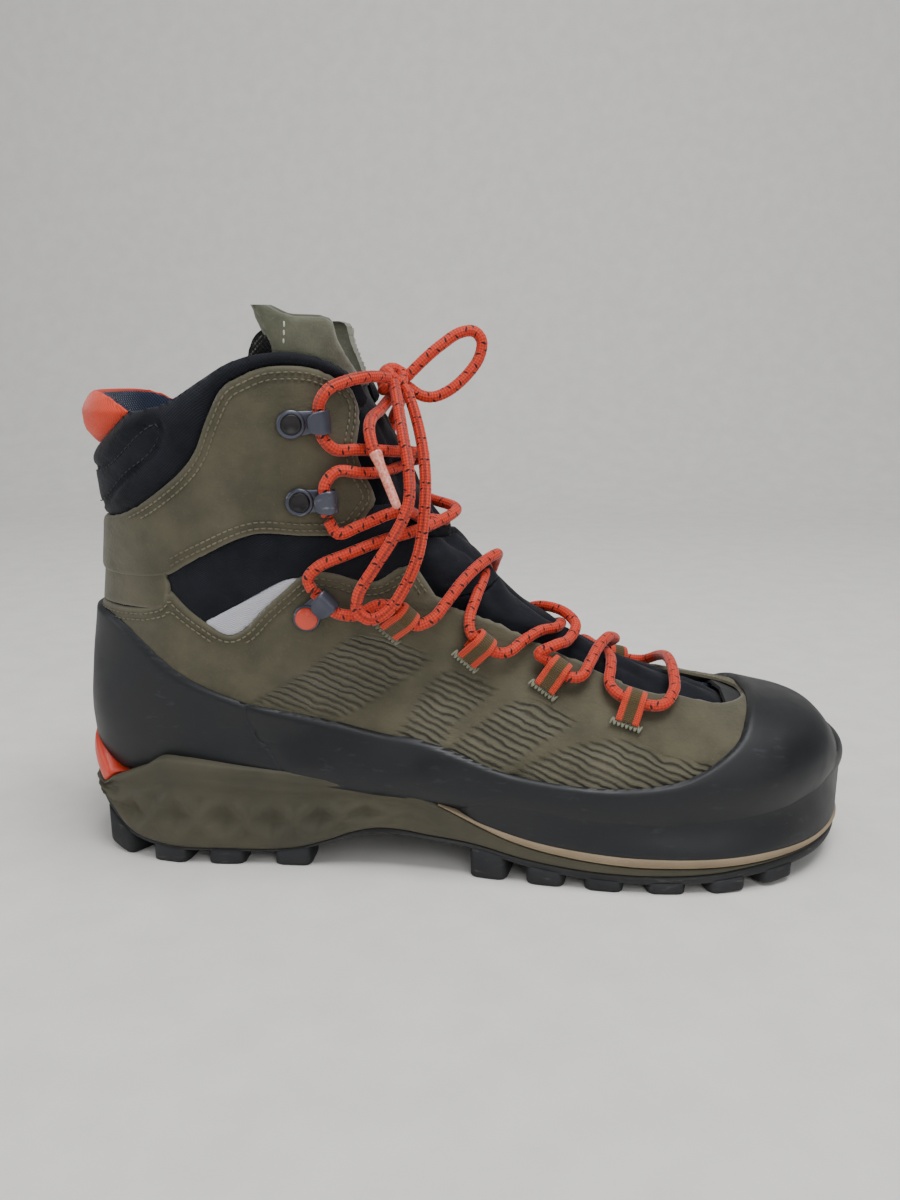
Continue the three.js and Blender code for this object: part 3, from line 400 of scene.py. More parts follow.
def make_object(name: str, shell: Shell, material: bpy.types.Material) -> bpy.types.Object:
    """Puts a shell into a Blender mesh, in metres, with its attributes.

    Args:
        name: Name of the piece.
        shell: The mesh.
        material: Its finish.

    Returns:
        The linked object, at the origin.
    """
    triangle = shell.faces[:, 2] == shell.faces[:, 3]
    sizes = np.where(triangle, 3, 4)
    keep = np.ones(shell.faces.shape, bool)
    keep[triangle, 3] = False
    loops = shell.faces[keep]
    mesh = bpy.data.meshes.new(name)
    mesh.vertices.add(len(shell.points))
    mesh.vertices.foreach_set("co", (shell.points * MM).astype(np.float32).ravel())
    mesh.loops.add(len(loops))
    mesh.loops.foreach_set("vertex_index", loops.astype(np.int32))
    mesh.polygons.add(len(sizes))
    mesh.polygons.foreach_set("loop_start", np.concatenate([[0], np.cumsum(sizes)[:-1]]).astype(np.int32))
    mesh.update(calc_edges=True)
    mesh.polygons.foreach_set("use_smooth", ~shell.flat)
    edge = mesh.attributes.new("edge_mm", "FLOAT", "POINT")
    edge.data.foreach_set("value", np.clip(shell.edge, -9, 40).astype(np.float32))
    layer = mesh.uv_layers.new(name="surface")
    layer.data.foreach_set("uv", (shell.uv[loops] * MM).astype(np.float32).ravel())
    mesh.materials.append(material)
    mesh.validate()
    middle = shell.points - shell.points.mean(0)
    a, b, c, d = (middle[shell.faces[:, i]] for i in range(4))
    if np.sum(a * (np.cross(b, c) + np.cross(c, d))) < 0:
        mesh.flip_normals()
    piece = bpy.data.objects.new(name, mesh)
    bpy.context.scene.collection.objects.link(piece)
    log.info("made %s: %d faces", name, len(sizes))
    return piece


def grid_faces(rows: int, columns: int, closed_rows: bool = False, closed_columns: bool = False) -> Array:
    """Quads of a grid of vertices stored row by row, each as (here, next column, both, next row).

    Args:
        rows: Number of rows.
        columns: Number of columns.
        closed_rows: Whether the last row joins the first.
        closed_columns: Whether the last column joins the first.

    Returns:
        The quads.
    """
    row = np.arange(rows if closed_rows else rows - 1)
    column = np.arange(columns if closed_columns else columns - 1)
    r, c = np.meshgrid(row, column, indexing="ij")
    r2, c2 = (r + 1) % rows, (c + 1) % columns
    return np.stack([r * columns + c, r * columns + c2, r2 * columns + c2, r2 * columns + c],
                    -1).reshape(-1, 4)


@dataclass
class PanelPoints:
    """Where a relief is asked for: side-view places, y, station numbers, angles and distance from the edge."""

    x: Array
    y: Array
    z: Array
    position: Array
    angle: Array
    edge: Array


@dataclass
class PanelCutter:
    """Cuts panels out of a fine grid on the outer surface.

    Attributes:
        per_station: Grid rows between two stations.
        around: Grid columns round a section.
        toe_rows: Rows of the toe's dome.
    """

    per_station: int = 18
    around: int = 216
    toe_rows: int = 14

    def __post_init__(self) -> None:
        """Lays out the grid and its points once."""
        rows = np.arange(LAST_STATION * self.per_station + 1) / self.per_station
        dome = LAST_STATION + np.arange(1, self.toe_rows + 1) / self.toe_rows
        turn = np.arange(self.around) * 2 * math.pi / self.around
        self.rows = np.concatenate([rows, dome])
        self.columns = turn - 0.1 * np.sin(4 * turn)
        position, angle = np.meshgrid(self.rows, self.columns, indexing="ij")
        self.position, self.angle = position.ravel(), angle.ravel()
        self.points = SURFACE.point(self.position, self.angle)
        self.faces = grid_faces(len(self.rows), self.around, closed_columns=True)

    def kept_share(self, position: Array, angle: Array, away: Array) -> Array:
        """How much of a side-view direction lies in the surface.

        With M the first fundamental form and b the direction's slopes along the two parameters, the
        share is b times the inverse of M times b.

        Args:
            position: Station numbers.
            angle: Angles.
            away: Unit side-view directions (x, z).

        Returns:
            The squared share of the direction that the surface keeps.
        """
        along, around = SURFACE.tangents(position, angle)
        slope_a = along[:, 0] * away[:, 0] + along[:, 2] * away[:, 1]
        slope_b = around[:, 0] * away[:, 0] + around[:, 2] * away[:, 1]
        m11, m12, m22 = np.sum(along**2, 1), np.sum(along * around, 1), np.sum(around**2, 1)
        area = np.maximum(m11 * m22 - m12**2, 1e-9)
        step_a = (m22 * slope_a - m12 * slope_b) / area
        step_b = (m11 * slope_b - m12 * slope_a) / area
        return np.maximum(slope_a * step_a + slope_b * step_b, 0.02)

    def distance(self, position: Array, angle: Array, outline: Array) -> Array:
        """Signed distance from an outline measured over the surface.

        Args:
            position: Station numbers.
            angle: Angles.
            outline: Side-view pattern line, closed.

        Returns:
            Distances in mm, positive inside.
        """
        flat = SURFACE.point(position, angle)[:, [0, 2]]
        gap, away, _ = nearest_on(flat, outline)
        sign = np.where(inside(flat, outline), 1.0, -1.0)
        return sign * gap / np.sqrt(self.kept_share(position, angle, away * sign[:, None]))

    def cut(self, outline: Array, inner: float, outer: float, rim: float = 1.2,
            relief: Relief | None = None, side: int | None = None, lining: Relief | None = None,
            wall: float = 0.55) -> Shell:
        """A panel as a closed shell.

        The outer sheet stands at its depth plus the relief, and falls as a quarter circle over the rim to
        a share of the thickness at the edge. The inner sheet keeps its depth, and a wall joins the two.

        Args:
            outline: Side-view pattern line, closed.
            inner: Depth of the inner sheet, mm.
            outer: Depth of the outer sheet, mm.
            rim: Width of the rounded rim, mm.
            relief: Extra height of the outer sheet.
            side: Keeps one side of the boot.
            lining: Extra height of the inner sheet.
            wall: Share of the thickness left at the edge.

        Returns:
            The panel.
        """
        low, high = outline.min(0) - 4, outline.max(0) + 4
        box = np.all((self.points[:, [0, 2]] > low) & (self.points[:, [0, 2]] < high), 1)
        if side is not None:
            box &= (self.points[:, 1] - SURFACE.centre_shift) * side > 0
        chosen = np.flatnonzero(box)
        position, angle = self.position[chosen].copy(), self.angle[chosen].copy()
        edge = self.distance(position, angle, outline)
        value = np.full(len(self.points), np.nan)
        value[chosen] = edge
        share, row_step, column_step = self.crossings(value.reshape(len(self.rows), self.around))
        moved = share.ravel()[chosen] < 1
        pulled, row = chosen[moved], chosen[moved] // self.around
        by = share.ravel()[pulled]
        other = np.clip(row + row_step.ravel()[pulled], 0, len(self.rows) - 1)
        position[moved] += by * (self.rows[other] - self.rows[row])
        angle[moved] += by * column_step.ravel()[pulled] * (self.columns[1] - self.columns[0])
        edge[moved] = 0
        kept = np.zeros(len(self.points), bool)
        kept[chosen[edge >= 0]] = True
        number = np.full(len(self.points), -1)
        corner = kept[self.faces]
        count = corner.sum(1)
        quads = self.faces[count == 4]
        three = self.faces[count == 3]
        missing = np.argmin(kept[three], 1)
        turned = np.take_along_axis(three, (missing[:, None] + np.arange(1, 4)) % 4, 1)
        faces = np.vstack([quads, np.column_stack([turned, turned[:, -1]])])
        used = np.unique(faces)
        number[used] = np.arange(len(used))
        faces = number[faces]
        local = np.full(len(self.points), -1)
        local[chosen] = np.arange(len(chosen))
        pick = local[used]
        position, angle, edge = position[pick], angle[pick], np.maximum(edge[pick], 0)
        point, normal = SURFACE.point(position, angle), SURFACE.normal(position, angle)
        place = PanelPoints(point[:, 0], point[:, 1], point[:, 2], position, angle, edge)
        lost = 1 - np.clip(edge / max(rim, 1e-6), 0, 1)
        height = wall + (1 - wall) * np.sqrt(1 - lost**2)
        top = inner + (outer - inner) * height
        if relief is not None:
            top = top + relief(place) * np.clip(edge / max(rim, 1e-6), 0, 1)
        bottom = np.full(len(point), inner) + (lining(place) if lining is not None else 0)
        count = len(point)
        out_faces = faces[:, [0, 3, 2, 1]]
        out_faces = np.where((faces[:, 2] == faces[:, 3])[:, None], faces[:, [0, 2, 1, 1]], out_faces)
        rimmed = open_edges(out_faces)
        walls = np.column_stack([rimmed[:, 1], rimmed[:, 0], rimmed[:, 0] + count, rimmed[:, 1] + count])
        uv = np.column_stack([angle * 42, position * 22])
        shell = Shell(np.vstack([point + normal * top[:, None], point + normal * bottom[:, None]]),
                      np.vstack([out_faces, faces + count, walls]),
                      np.concatenate([np.zeros(2 * len(faces), bool), np.ones(len(walls), bool)]),
                      np.concatenate([edge, edge]), np.vstack([uv, uv]))
        return weld(shell)

    def crossings(self, value: Array) -> tuple[Array, Array, Array]:
        """For each grid point outside a panel, the nearest place where a grid line enters the panel.

        Args:
            value: Signed distance into the panel over the grid, NaN where it isn't known.

        Returns:
            Share of the step towards the neighbour inside (1 where there is none), and that
            neighbour's row and column offsets.
        """
        share = np.ones(value.shape)
        row_step, column_step = np.zeros(value.shape, int), np.zeros(value.shape, int)
        for dr, dc in ((0, 1), (0, -1), (1, 0), (-1, 0), (1, 1), (1, -1), (-1, 1), (-1, -1)):
            beside = np.roll(value, (-dr, -dc), (0, 1))
            if dr == 1:
                beside[-1] = np.nan
            if dr == -1:
                beside[0] = np.nan
            with np.errstate(invalid="ignore", divide="ignore"):
                part = np.where((value < 0) & (beside >= 0), value / (value - beside), 1.0)
            if dr and dc:
                part = np.where(share < 1, 1.0, part)
            better = part < share
            share[better], row_step[better], column_step[better] = part[better], dr, dc
        return share, row_step, column_step

    def lines_at(self, outline: Array, inset: float, keep: Callable[[Array], Array]) -> list[Array]:
        """Lines over the surface that run at an inset inside an outline.

        Args:
            outline: Side-view pattern line, closed.
            inset: Distance from it over the surface, mm.
            keep: Tells which points (x, y, z) the line may use.

        Returns:
            Lines as rows of (station number, angle).
        """
        low, high = outline.min(0) - 3, outline.max(0) + 3
        box = np.all((self.points[:, [0, 2]] > low) & (self.points[:, [0, 2]] < high), 1)
        chosen = np.flatnonzero(box)
        value = np.full(len(self.points), -99.0)
        value[chosen] = self.distance(self.position[chosen], self.angle[chosen], outline) - inset
        value[chosen[~keep(self.points[chosen])]] = np.nan
        return contour(value.reshape(len(self.rows), self.around), self.rows, self.columns)


def open_edges(faces: Array) -> Array:
    """Directed edges that only one face has; a repeated last index marks a triangle.

    Args:
        faces: Quads.

    Returns:
        Rows of two vertex numbers.
    """
    pairs = np.vstack([faces[:, [0, 1]], faces[:, [1, 2]], faces[:, [2, 3]], faces[:, [3, 0]]])
    pairs = pairs[pairs[:, 0] != pairs[:, 1]]
    size = faces.max() + 1
    forward, back = pairs[:, 0] * size + pairs[:, 1], pairs[:, 1] * size + pairs[:, 0]
    return pairs[~np.isin(forward, back)]


def weld(shell: Shell, grid: float = 1e-4) -> Shell:
    """Merges vertices that share a place and drops the faces that this closes up.

    Args:
        shell: The mesh.
        grid: Size below which places are the same, mm.

    Returns:
        The welded mesh.
    """
    _, first, inverse = np.unique(np.round(shell.points / grid).astype(np.int64), axis=0,
                                  return_index=True, return_inverse=True)
    faces = inverse.ravel()[shell.faces]
    same = faces == np.roll(faces, -1, 1)
    distinct = 4 - same.sum(1)
    shift = np.argmax(same, 1) - 2
    order = (np.arange(4)[None, :] + np.where(distinct == 3, shift, 0)[:, None]) % 4
    faces = np.take_along_axis(faces, order, 1)
    good = (distinct >= 3) & (faces[:, 0] != faces[:, 2]) & (faces[:, 1] != faces[:, 3])
    return Shell(shell.points[first], faces[good], shell.flat[good], shell.edge[first], shell.uv[first])


def contour(value: Array, rows: Array, columns: Array) -> list[Array]:
    """Zero lines of a grid of values, by marching over its cells and joining their crossings.

    Args:
        value: Grid of rows and closed columns, not a number where no line may run.
        rows: First parameter of each row.
        columns: Second parameter of each column.

    Returns:
        Lines as rows of the two parameters.
    """
    count_c = value.shape[1]
    right, below = np.roll(value, -1, 1), np.vstack([value[1:], np.full((1, count_c), np.nan)])
    cross_h, cross_v = value * right < 0, value * below < 0
    with np.errstate(invalid="ignore", divide="ignore"):
        part_h, part_v = value / (value - right), value / (value - below)
    step_c = np.append(np.diff(columns), 2 * math.pi - columns[-1] + columns[0])
    step_r = np.append(np.diff(rows), 1)
    spots: dict[tuple[int, int, int], tuple[float, float]] = {}
    for r, c in zip(*np.nonzero(cross_h)):
        spots[(0, r, c)] = (rows[r], columns[c] + part_h[r, c] * step_c[c])
    for r, c in zip(*np.nonzero(cross_v)):
        spots[(1, r, c)] = (rows[r] + part_v[r, c] * step_r[r], columns[c])
    links: dict[tuple[int, int, int], list[tuple[int, int, int]]] = {}
    cells = {(r, c) for kind, r, c in spots} | {(r - 1, c) if kind == 0 else (r, (c - 1) % count_c)
                                                for kind, r, c in spots}
    for r, c in cells:
        ring = [(0, r, c), (1, r, (c + 1) % count_c), (0, r + 1, c), (1, r, c)]
        hit = [spot for spot in ring if spot in spots]
        if len(hit) == 2:
            links.setdefault(hit[0], []).append(hit[1])
            links.setdefault(hit[1], []).append(hit[0])
    lines = []
    left = set(links)
    while left:
        ends = [spot for spot in left if len(links[spot]) == 1]
        here = min(ends) if ends else min(left)
        path = []
        while here is not None:
            path.append(spots[here])
            left.discard(here)
            here = next((spot for spot in links[here] if spot in left), None)
        if len(path) > 6:
            line = np.array(path)
            line[:, 1] = np.unwrap(line[:, 1])
            lines.append(line)
    return lines


def run_along(points: Array) -> Array:
    """Length along a polyline at each of its points."""
    return np.concatenate([[0], np.cumsum(np.linalg.norm(np.diff(points, axis=0), axis=1))])


def even(points: Array, pitch: float) -> Array:
    """Points at an even pitch along a polyline.

    Args:
        points: Points.
        pitch: Distance between them, mm.

    Returns:
        The points.
    """
    length = run_along(points)
    count = max(int(length[-1] / pitch), 1)
    at = (np.arange(count) + 0.5) * length[-1] / count
    return np.column_stack([np.interp(at, length, points[:, axis]) for axis in range(points.shape[1])])


def unit(vectors: Array) -> Array:
    """Rows scaled to length one."""
    return vectors / np.maximum(np.linalg.norm(vectors, axis=-1, keepdims=True), 1e-9)


def repeat_along(template: Shell, centres: Array, forward: Array, up: Array) -> Shell:
    """Copies of a small mesh, each turned to its own forward and up directions.

    Args:
        template: The mesh, with x forward, y across and z up.
        centres: One row per copy.
        forward: Direction of each copy's x.
        up: Direction of each copy's z, made square to forward.

    Returns:
        All the copies as one mesh.
    """
    forward = unit(forward)
    up = unit(up - np.sum(up * forward, 1, keepdims=True) * forward)
    across = np.cross(up, forward)
    axes = np.stack([forward, across, up], 1)
    points = np.einsum("vi,nij->nvj", template.points, axes) + centres[:, None, :]
    number, count = len(centres), len(template.points)
    faces = template.faces[None] + (np.arange(number) * count)[:, None, None]
    return Shell(points.reshape(-1, 3), faces.reshape(-1, 4), np.tile(template.flat, number),
                 np.tile(template.edge, number), np.tile(template.uv, (number, 1)))


def bead(length: float, width: float, height: float, sides: int = 6, rings: int = 5) -> Shell:
    """A stitch: an ellipsoid along x whose ends sink, closed at both poles.

    A ring at angle t from the pole has radius sin t, lies at -cos t along x, and drops with the square
    of its distance from the middle.

    Args:
        length: Length, mm.
        width: Width, mm.
        height: Height, mm.
        sides: Vertices round it.
        rings: Rings between the poles.

    Returns:
        The stitch.
    """
    turn = np.linspace(0, math.pi, rings + 2)
    round_ = np.arange(sides) * 2 * math.pi / sides
    t, a = np.meshgrid(turn, round_, indexing="ij")
    x = -np.cos(t) * length / 2
    y = np.sin(t) ** 0.6 * np.cos(a) * width / 2
    z = np.sin(t) ** 0.6 * np.sin(a) * height / 2 - (2 * x / length) ** 4 * height * 0.5
    points = np.stack([x, y, z], -1).reshape(-1, 3)
    return weld(Shell.of(points, grid_faces(rings + 2, sides, closed_columns=True)[:, [0, 3, 2, 1]]))


def frames_along(points: Array, closed: bool = False) -> tuple[Array, Array, Array]:
    """Tangents and two cross directions that turn as little as possible along a path.

    Args:
        points: Rows of points.
        closed: Whether the path joins itself.

    Returns:
        Tangents and the two cross directions.
    """
    if closed:
        tangent = unit(np.roll(points, -1, 0) - np.roll(points, 1, 0))
    else:
        tangent = unit(np.gradient(points, axis=0))
    seed = np.array([0.0, 0.0, 1.0]) if abs(tangent[0, 2]) < 0.8 else np.array([1.0, 0.0, 0.0])
    first = [unit(seed - seed @ tangent[0] * tangent[0])]
    for here in tangent[1:]:
        first.append(unit(first[-1] - first[-1] @ here * here))
    side = np.array(first)
    return tangent, side, np.cross(tangent, side)


def tube(path: Array, radius: Array | float, sides: int = 12, closed: bool = False,
         flatten: tuple[float, float] = (1.0, 1.0), ripple: float = 0.0) -> Shell:
    """A round tube carried along a path: centre + r(cos a * side + sin a * across), closed at its ends.

    Args:
        path: Rows of points, evenly spaced.
        radius: One radius, or one per point.
        sides: Vertices round it.
        closed: Whether the path joins itself.
        flatten: Scale of the two cross directions.
        ripple: Height of the braid's strands, as a share of the radius.

    Returns:
        The tube, with uv (mm round it, mm along it).
    """
    tangent, side, across = frames_along(path, closed)
    run = run_along(path)
    turn = np.arange(sides) * 2 * math.pi / sides
    r = np.broadcast_to(np.asarray(radius, float), len(path))[:, None, None]
    strands = 1 + ripple * np.cos(turn[None, :] * 4 + run[:, None] * 1.6)[..., None] \
        * np.cos(turn[None, :] * 4 - run[:, None] * 1.6)[..., None]
    ring = (np.cos(turn)[None, :, None] * side[:, None] * flatten[0]
            + np.sin(turn)[None, :, None] * across[:, None] * flatten[1])
    points = (path[:, None] + ring * r * strands).reshape(-1, 3)
    mean = float(np.mean(np.asarray(radius)))
    uv = np.stack(np.broadcast_arrays(turn[None, :] * mean, run[:, None]), -1).reshape(-1, 2)
    faces = grid_faces(len(path), sides, closed_rows=closed, closed_columns=True)
    if closed:
        return Shell.of(points, faces, uv)
    count = len(points)
    ends = np.vstack([path[0] - tangent[0] * mean * 0.25, path[-1] + tangent[-1] * mean * 0.25])
    points = np.vstack([points, ends])
    uv = np.vstack([uv, uv[[0, -1]]])
    here = np.arange(sides)
    after = (here + 1) % sides
    last = count - sides
    caps = np.vstack([np.column_stack([after, here, np.full(sides, count), np.full(sides, count)]),
                      np.column_stack([last + here, last + after, np.full(sides, count + 1),
                                       np.full(sides, count + 1)])])
    return Shell.of(points, np.vstack([faces, caps]), uv)


def squared(value: Array, power: float) -> Array:
    """A sine or cosine raised to a power with its sign kept, which squares a circle's corners."""
    return np.sign(value) * np.abs(value) ** power


def slab(bottom: Array, top: Array) -> Shell:
    """A closed plate between two grids of points.

    Args:
        bottom: Lower points, as rows and columns of (x, y, z).
        top: Upper points, in the same order.

    Returns:
        The plate.
    """
    lower = grid_faces(*bottom.shape[:2])
    count = bottom.shape[0] * bottom.shape[1]
    rim = open_edges(lower)
    walls = np.column_stack([rim[:, 1], rim[:, 0], rim[:, 0] + count, rim[:, 1] + count])
    return Shell.of(np.concatenate([bottom, top]).reshape(-1, 3),
                    np.vstack([lower, lower[:, [0, 3, 2, 1]] + count, walls]))


def strip(path: Array, across: Array, raised: Array) -> Shell:
    """A strip carried along a side profile: profile + normal * raised, closed to a point at both ends.

    Args:
        path: Rows of (x, z).
        across: Place across the strip, one row per place and one column per section point.
        raised: Height over the path along its normal, for the same points.

    Returns:
        The strip, with uv (mm across it, mm along it).
    """
    tangent = unit(np.gradient(path, axis=0))
    x = path[:, :1] - tangent[:, 1:] * raised
    z = path[:, 1:] + tangent[:, :1] * raised
    points = np.stack([x, across, z], -1)
    sides = across.shape[1]
    ends = points[[0, -1]].mean(1, keepdims=True).repeat(sides, 1)
    closed = np.concatenate([ends[:1], points, ends[1:]])
    along = np.pad(run_along(path), 1, mode="edge")[:, None]
    uv = np.stack(np.broadcast_arrays(np.pad(across, ((1, 1), (0, 0)), mode="edge"), along), -1)
    return weld(Shell.of(closed.reshape(-1, 3), grid_faces(len(closed), sides, closed_columns=True),
                         uv.reshape(-1, 2)))


def lathe(profile: Sequence[tuple[float, float]], sides: int = 32, samples: int = 4) -> Shell:
    """A turned piece: a smooth profile of (radius, height) carried round the z axis, poles closed.

    Args:
        profile: Points (radius, height), mm.
        sides: Vertices round it.
        samples: Points per span of the smooth profile.

    Returns:
        The closed piece.
    """
    curve = smooth(profile, samples)
    turn = np.arange(sides) * 2 * math.pi / sides
    radius = np.maximum(curve[:, 0], 0)[:, None]
    points = np.stack(np.broadcast_arrays(radius * np.cos(turn), radius * np.sin(turn), curve[:, 1:]), -1)
    return weld(Shell.of(points.reshape(-1, 3), grid_faces(len(curve), sides, closed_columns=True)))


CUTTER = PanelCutter()


@dataclass(frozen=True)
class Seat:
    """A frame on the upper: origin, direction along the surface, and direction out of it."""

    origin: Array
    along: Array
    out: Array

    @staticmethod
    def at(x: float, z: float, side: int, angle: float, lift: float = 0.0) -> "Seat":
        """The seat at side-view place (x, z), its first axis turned by a side-view angle.

        The place is found from the nearest grid point by Newton steps on x and z.

        Args:
            x: Place along the foot, mm.
            z: Height, mm.
            side: LATERAL or MEDIAL.
            angle: Side-view angle of the first axis, radians.
            lift: Height over the surface, mm.

        Returns:
            The seat.
        """
        candidate = np.flatnonzero((CUTTER.points[:, 1] - SURFACE.centre_shift) * side > 3)
        gap = np.hypot(CUTTER.points[candidate, 0] - x, CUTTER.points[candidate, 2] - z)
        best = candidate[np.argmin(gap)]
        s, a = np.array([CUTTER.position[best]]), np.array([CUTTER.angle[best]])
        for _ in range(6):
            point = SURFACE.point(s, a)[0]
            along, around = (t[0] for t in SURFACE.tangents(s, a))
            slope = np.array([[along[0], around[0]], [along[2], around[2]]])
            move = np.linalg.solve(slope, [x - point[0], z - point[2]])
            s, a = s + np.clip(move[0], -0.3, 0.3), a + np.clip(move[1], -0.2, 0.2)
        out = SURFACE.normal(s, a)[0]
        direction = np.array([math.cos(angle), 0, math.sin(angle)])
        direction = unit(direction - direction @ out * out)
        return Seat(SURFACE.point(s, a)[0] + out * lift, direction, out)

    def place(self, shell: Shell) -> Shell:
        """Moves a mesh made with x along, y across and z out into the seat's frame.

        Args:
            shell: The mesh.

        Returns:
            The moved mesh.
        """
        across = np.cross(self.out, self.along)
        axes = np.stack([self.along, across, self.out])
        return Shell(shell.points @ axes + self.origin, shell.faces, shell.flat, shell.edge, shell.uv)


# ---------- finishes ----------
Socket = bpy.types.NodeSocket
Material = bpy.types.Material
Add = Callable[..., Socket]
Layer = tuple[Socket, "Socket | str"]


def linear(colour: str) -> tuple[float, ...]:
    """An sRGB hex colour as linear red, green, blue and alpha, by the standard's two-part curve."""
    parts = [int(colour[i:i + 2], 16) / 255 for i in (1, 3, 5)]
    return tuple(p / 12.92 if p <= 0.04045 else ((p + 0.055) / 1.055) ** 2.4 for p in parts) + (1.0,)


def add_node(tree: bpy.types.NodeTree, kind: str, *values: object, out: str | None = None,
             named: dict[str, object] | None = None, **settings: object) -> Socket | None:
    """Adds a node, sets its properties, and sets or links its inputs.

    Args:
        tree: The node tree.
        kind: Node type, without Blender's prefix.
        *values: Numbers, hex colours or sockets for the inputs in use, in their order.
        out: Name of the output to give back, if it isn't the first one in use.
        named: Values or sockets for inputs by name.
        **settings: Properties of the node.

    Returns:
        One of the node's outputs, or None if it has none.
    """
    node = tree.nodes.new("ShaderNode" + kind)
    for name, value in settings.items():
        setattr(node, name, value)
    in_use = [socket for socket in node.inputs if socket.enabled]
    pairs = list(zip(in_use, values))
    pairs += [(node.inputs[name], value) for name, value in (named or {}).items()]
    for socket, value in pairs:
        if isinstance(value, Socket):
            tree.links.new(value, socket)
        else:
            socket.default_value = linear(value) if isinstance(value, str) else value
    return node.outputs[out] if out else next((socket for socket in node.outputs if socket.enabled), None)


def per_mm(size: float) -> float:
    """Scale of a noise whose features are about size mm across, for coordinates in metres."""
    return 1 / (size * MM)


def turn_per(pitch: float) -> float:
    """Radians per metre of a wave with a pitch in mm."""
    return 2 * math.pi / (pitch * MM)


@dataclass(frozen=True)
class Finish:
    """What every finish has.

    Attributes:
        name: Name of the real material.
        slot: Material slot of the frame's record; not used.
        base: Main colour, sRGB hex.
        roughness: Roughness at the lowest and highest.
    """

    name: str
    slot: str
    base: str
    roughness: tuple[float, float] = (0.7, 0.9)

    def begin(self) -> tuple[Material, Add]:
        """Starts the material.

        Returns:
            The material with an empty tree, and add_node bound to that tree.
        """
        material = bpy.data.materials.new(self.name)
        material.use_nodes = True
        material.node_tree.nodes.clear()
        material.diffuse_color = linear(self.base)
        return material, partial(add_node, material.node_tree)

    def close(self, add: Add, colour: Socket, rough: Socket, normal: Socket, **shader: float) -> None:
        """Joins the patterns to the shader, and the shader to the output.

        Args:
            add: Adds a node to the material.
            colour: Base colour.
            rough: A pattern from 0 to 1 that is spread over the finish's roughness.
            normal: Bumped normal.
            **shader: Uniform values of the shader, with underscores for spaces.
        """
        uniform = {name.replace("_", " "): value for name, value in shader.items()}
        add("OutputMaterial", add("BsdfPrincipled", named={"Base Color": colour, "Roughness": rough,
                                                           "Normal": normal, **uniform}))

    def mottle(self, add: Add, size: float, detail: float = 3.0,
               stretch: tuple[float, float, float] | None = None) -> Socket:
        """Uneven patches of a size on the piece's own coordinates.

        Args:
            add: Adds a node to the material.
            size: Size of a patch, mm.
            detail: Finer octaves.
            stretch: Scale of the coordinates on each axis.

        Returns:
            The pattern, from 0 to 1.
        """
        place = add("TexCoord", out="Object")
        if stretch:
            place = add("Mapping", place, named={"Scale": stretch})
        return add("TexNoise", place, per_mm(size), detail, 0.55)

    def wave(self, add: Add, place: Socket, pitch: float) -> Socket:
        """A sine of a place in metres with a pitch in mm."""
        return add("Math", add("Math", place, turn_per(pitch), operation="MULTIPLY"), operation="SINE")

    def crossed(self, add: Add, first: Socket, second: Socket) -> list[Socket]:
        """Two sines that slant opposite ways: of the sum and of the difference of two phases."""
        return [add("Math", add("Math", first, second, operation=kind), operation="SINE")
                for kind in ("ADD", "SUBTRACT")]

    def layered(self, add: Add, ground: Socket | str, layers: Sequence[Layer]) -> Socket:
        """Lays colours over a ground colour.

        Args:
            add: Adds a node to the material.
            ground: The lowest colour.
            layers: Share and colour of each layer, lowest first.

        Returns:
            The colour on top.
        """
        for share, colour in layers:
            ground = add("Mix", share, ground, colour, data_type="RGBA")
        return ground

    def build(self) -> Material:
        """Makes the material; each finish has its own."""
        raise NotImplementedError


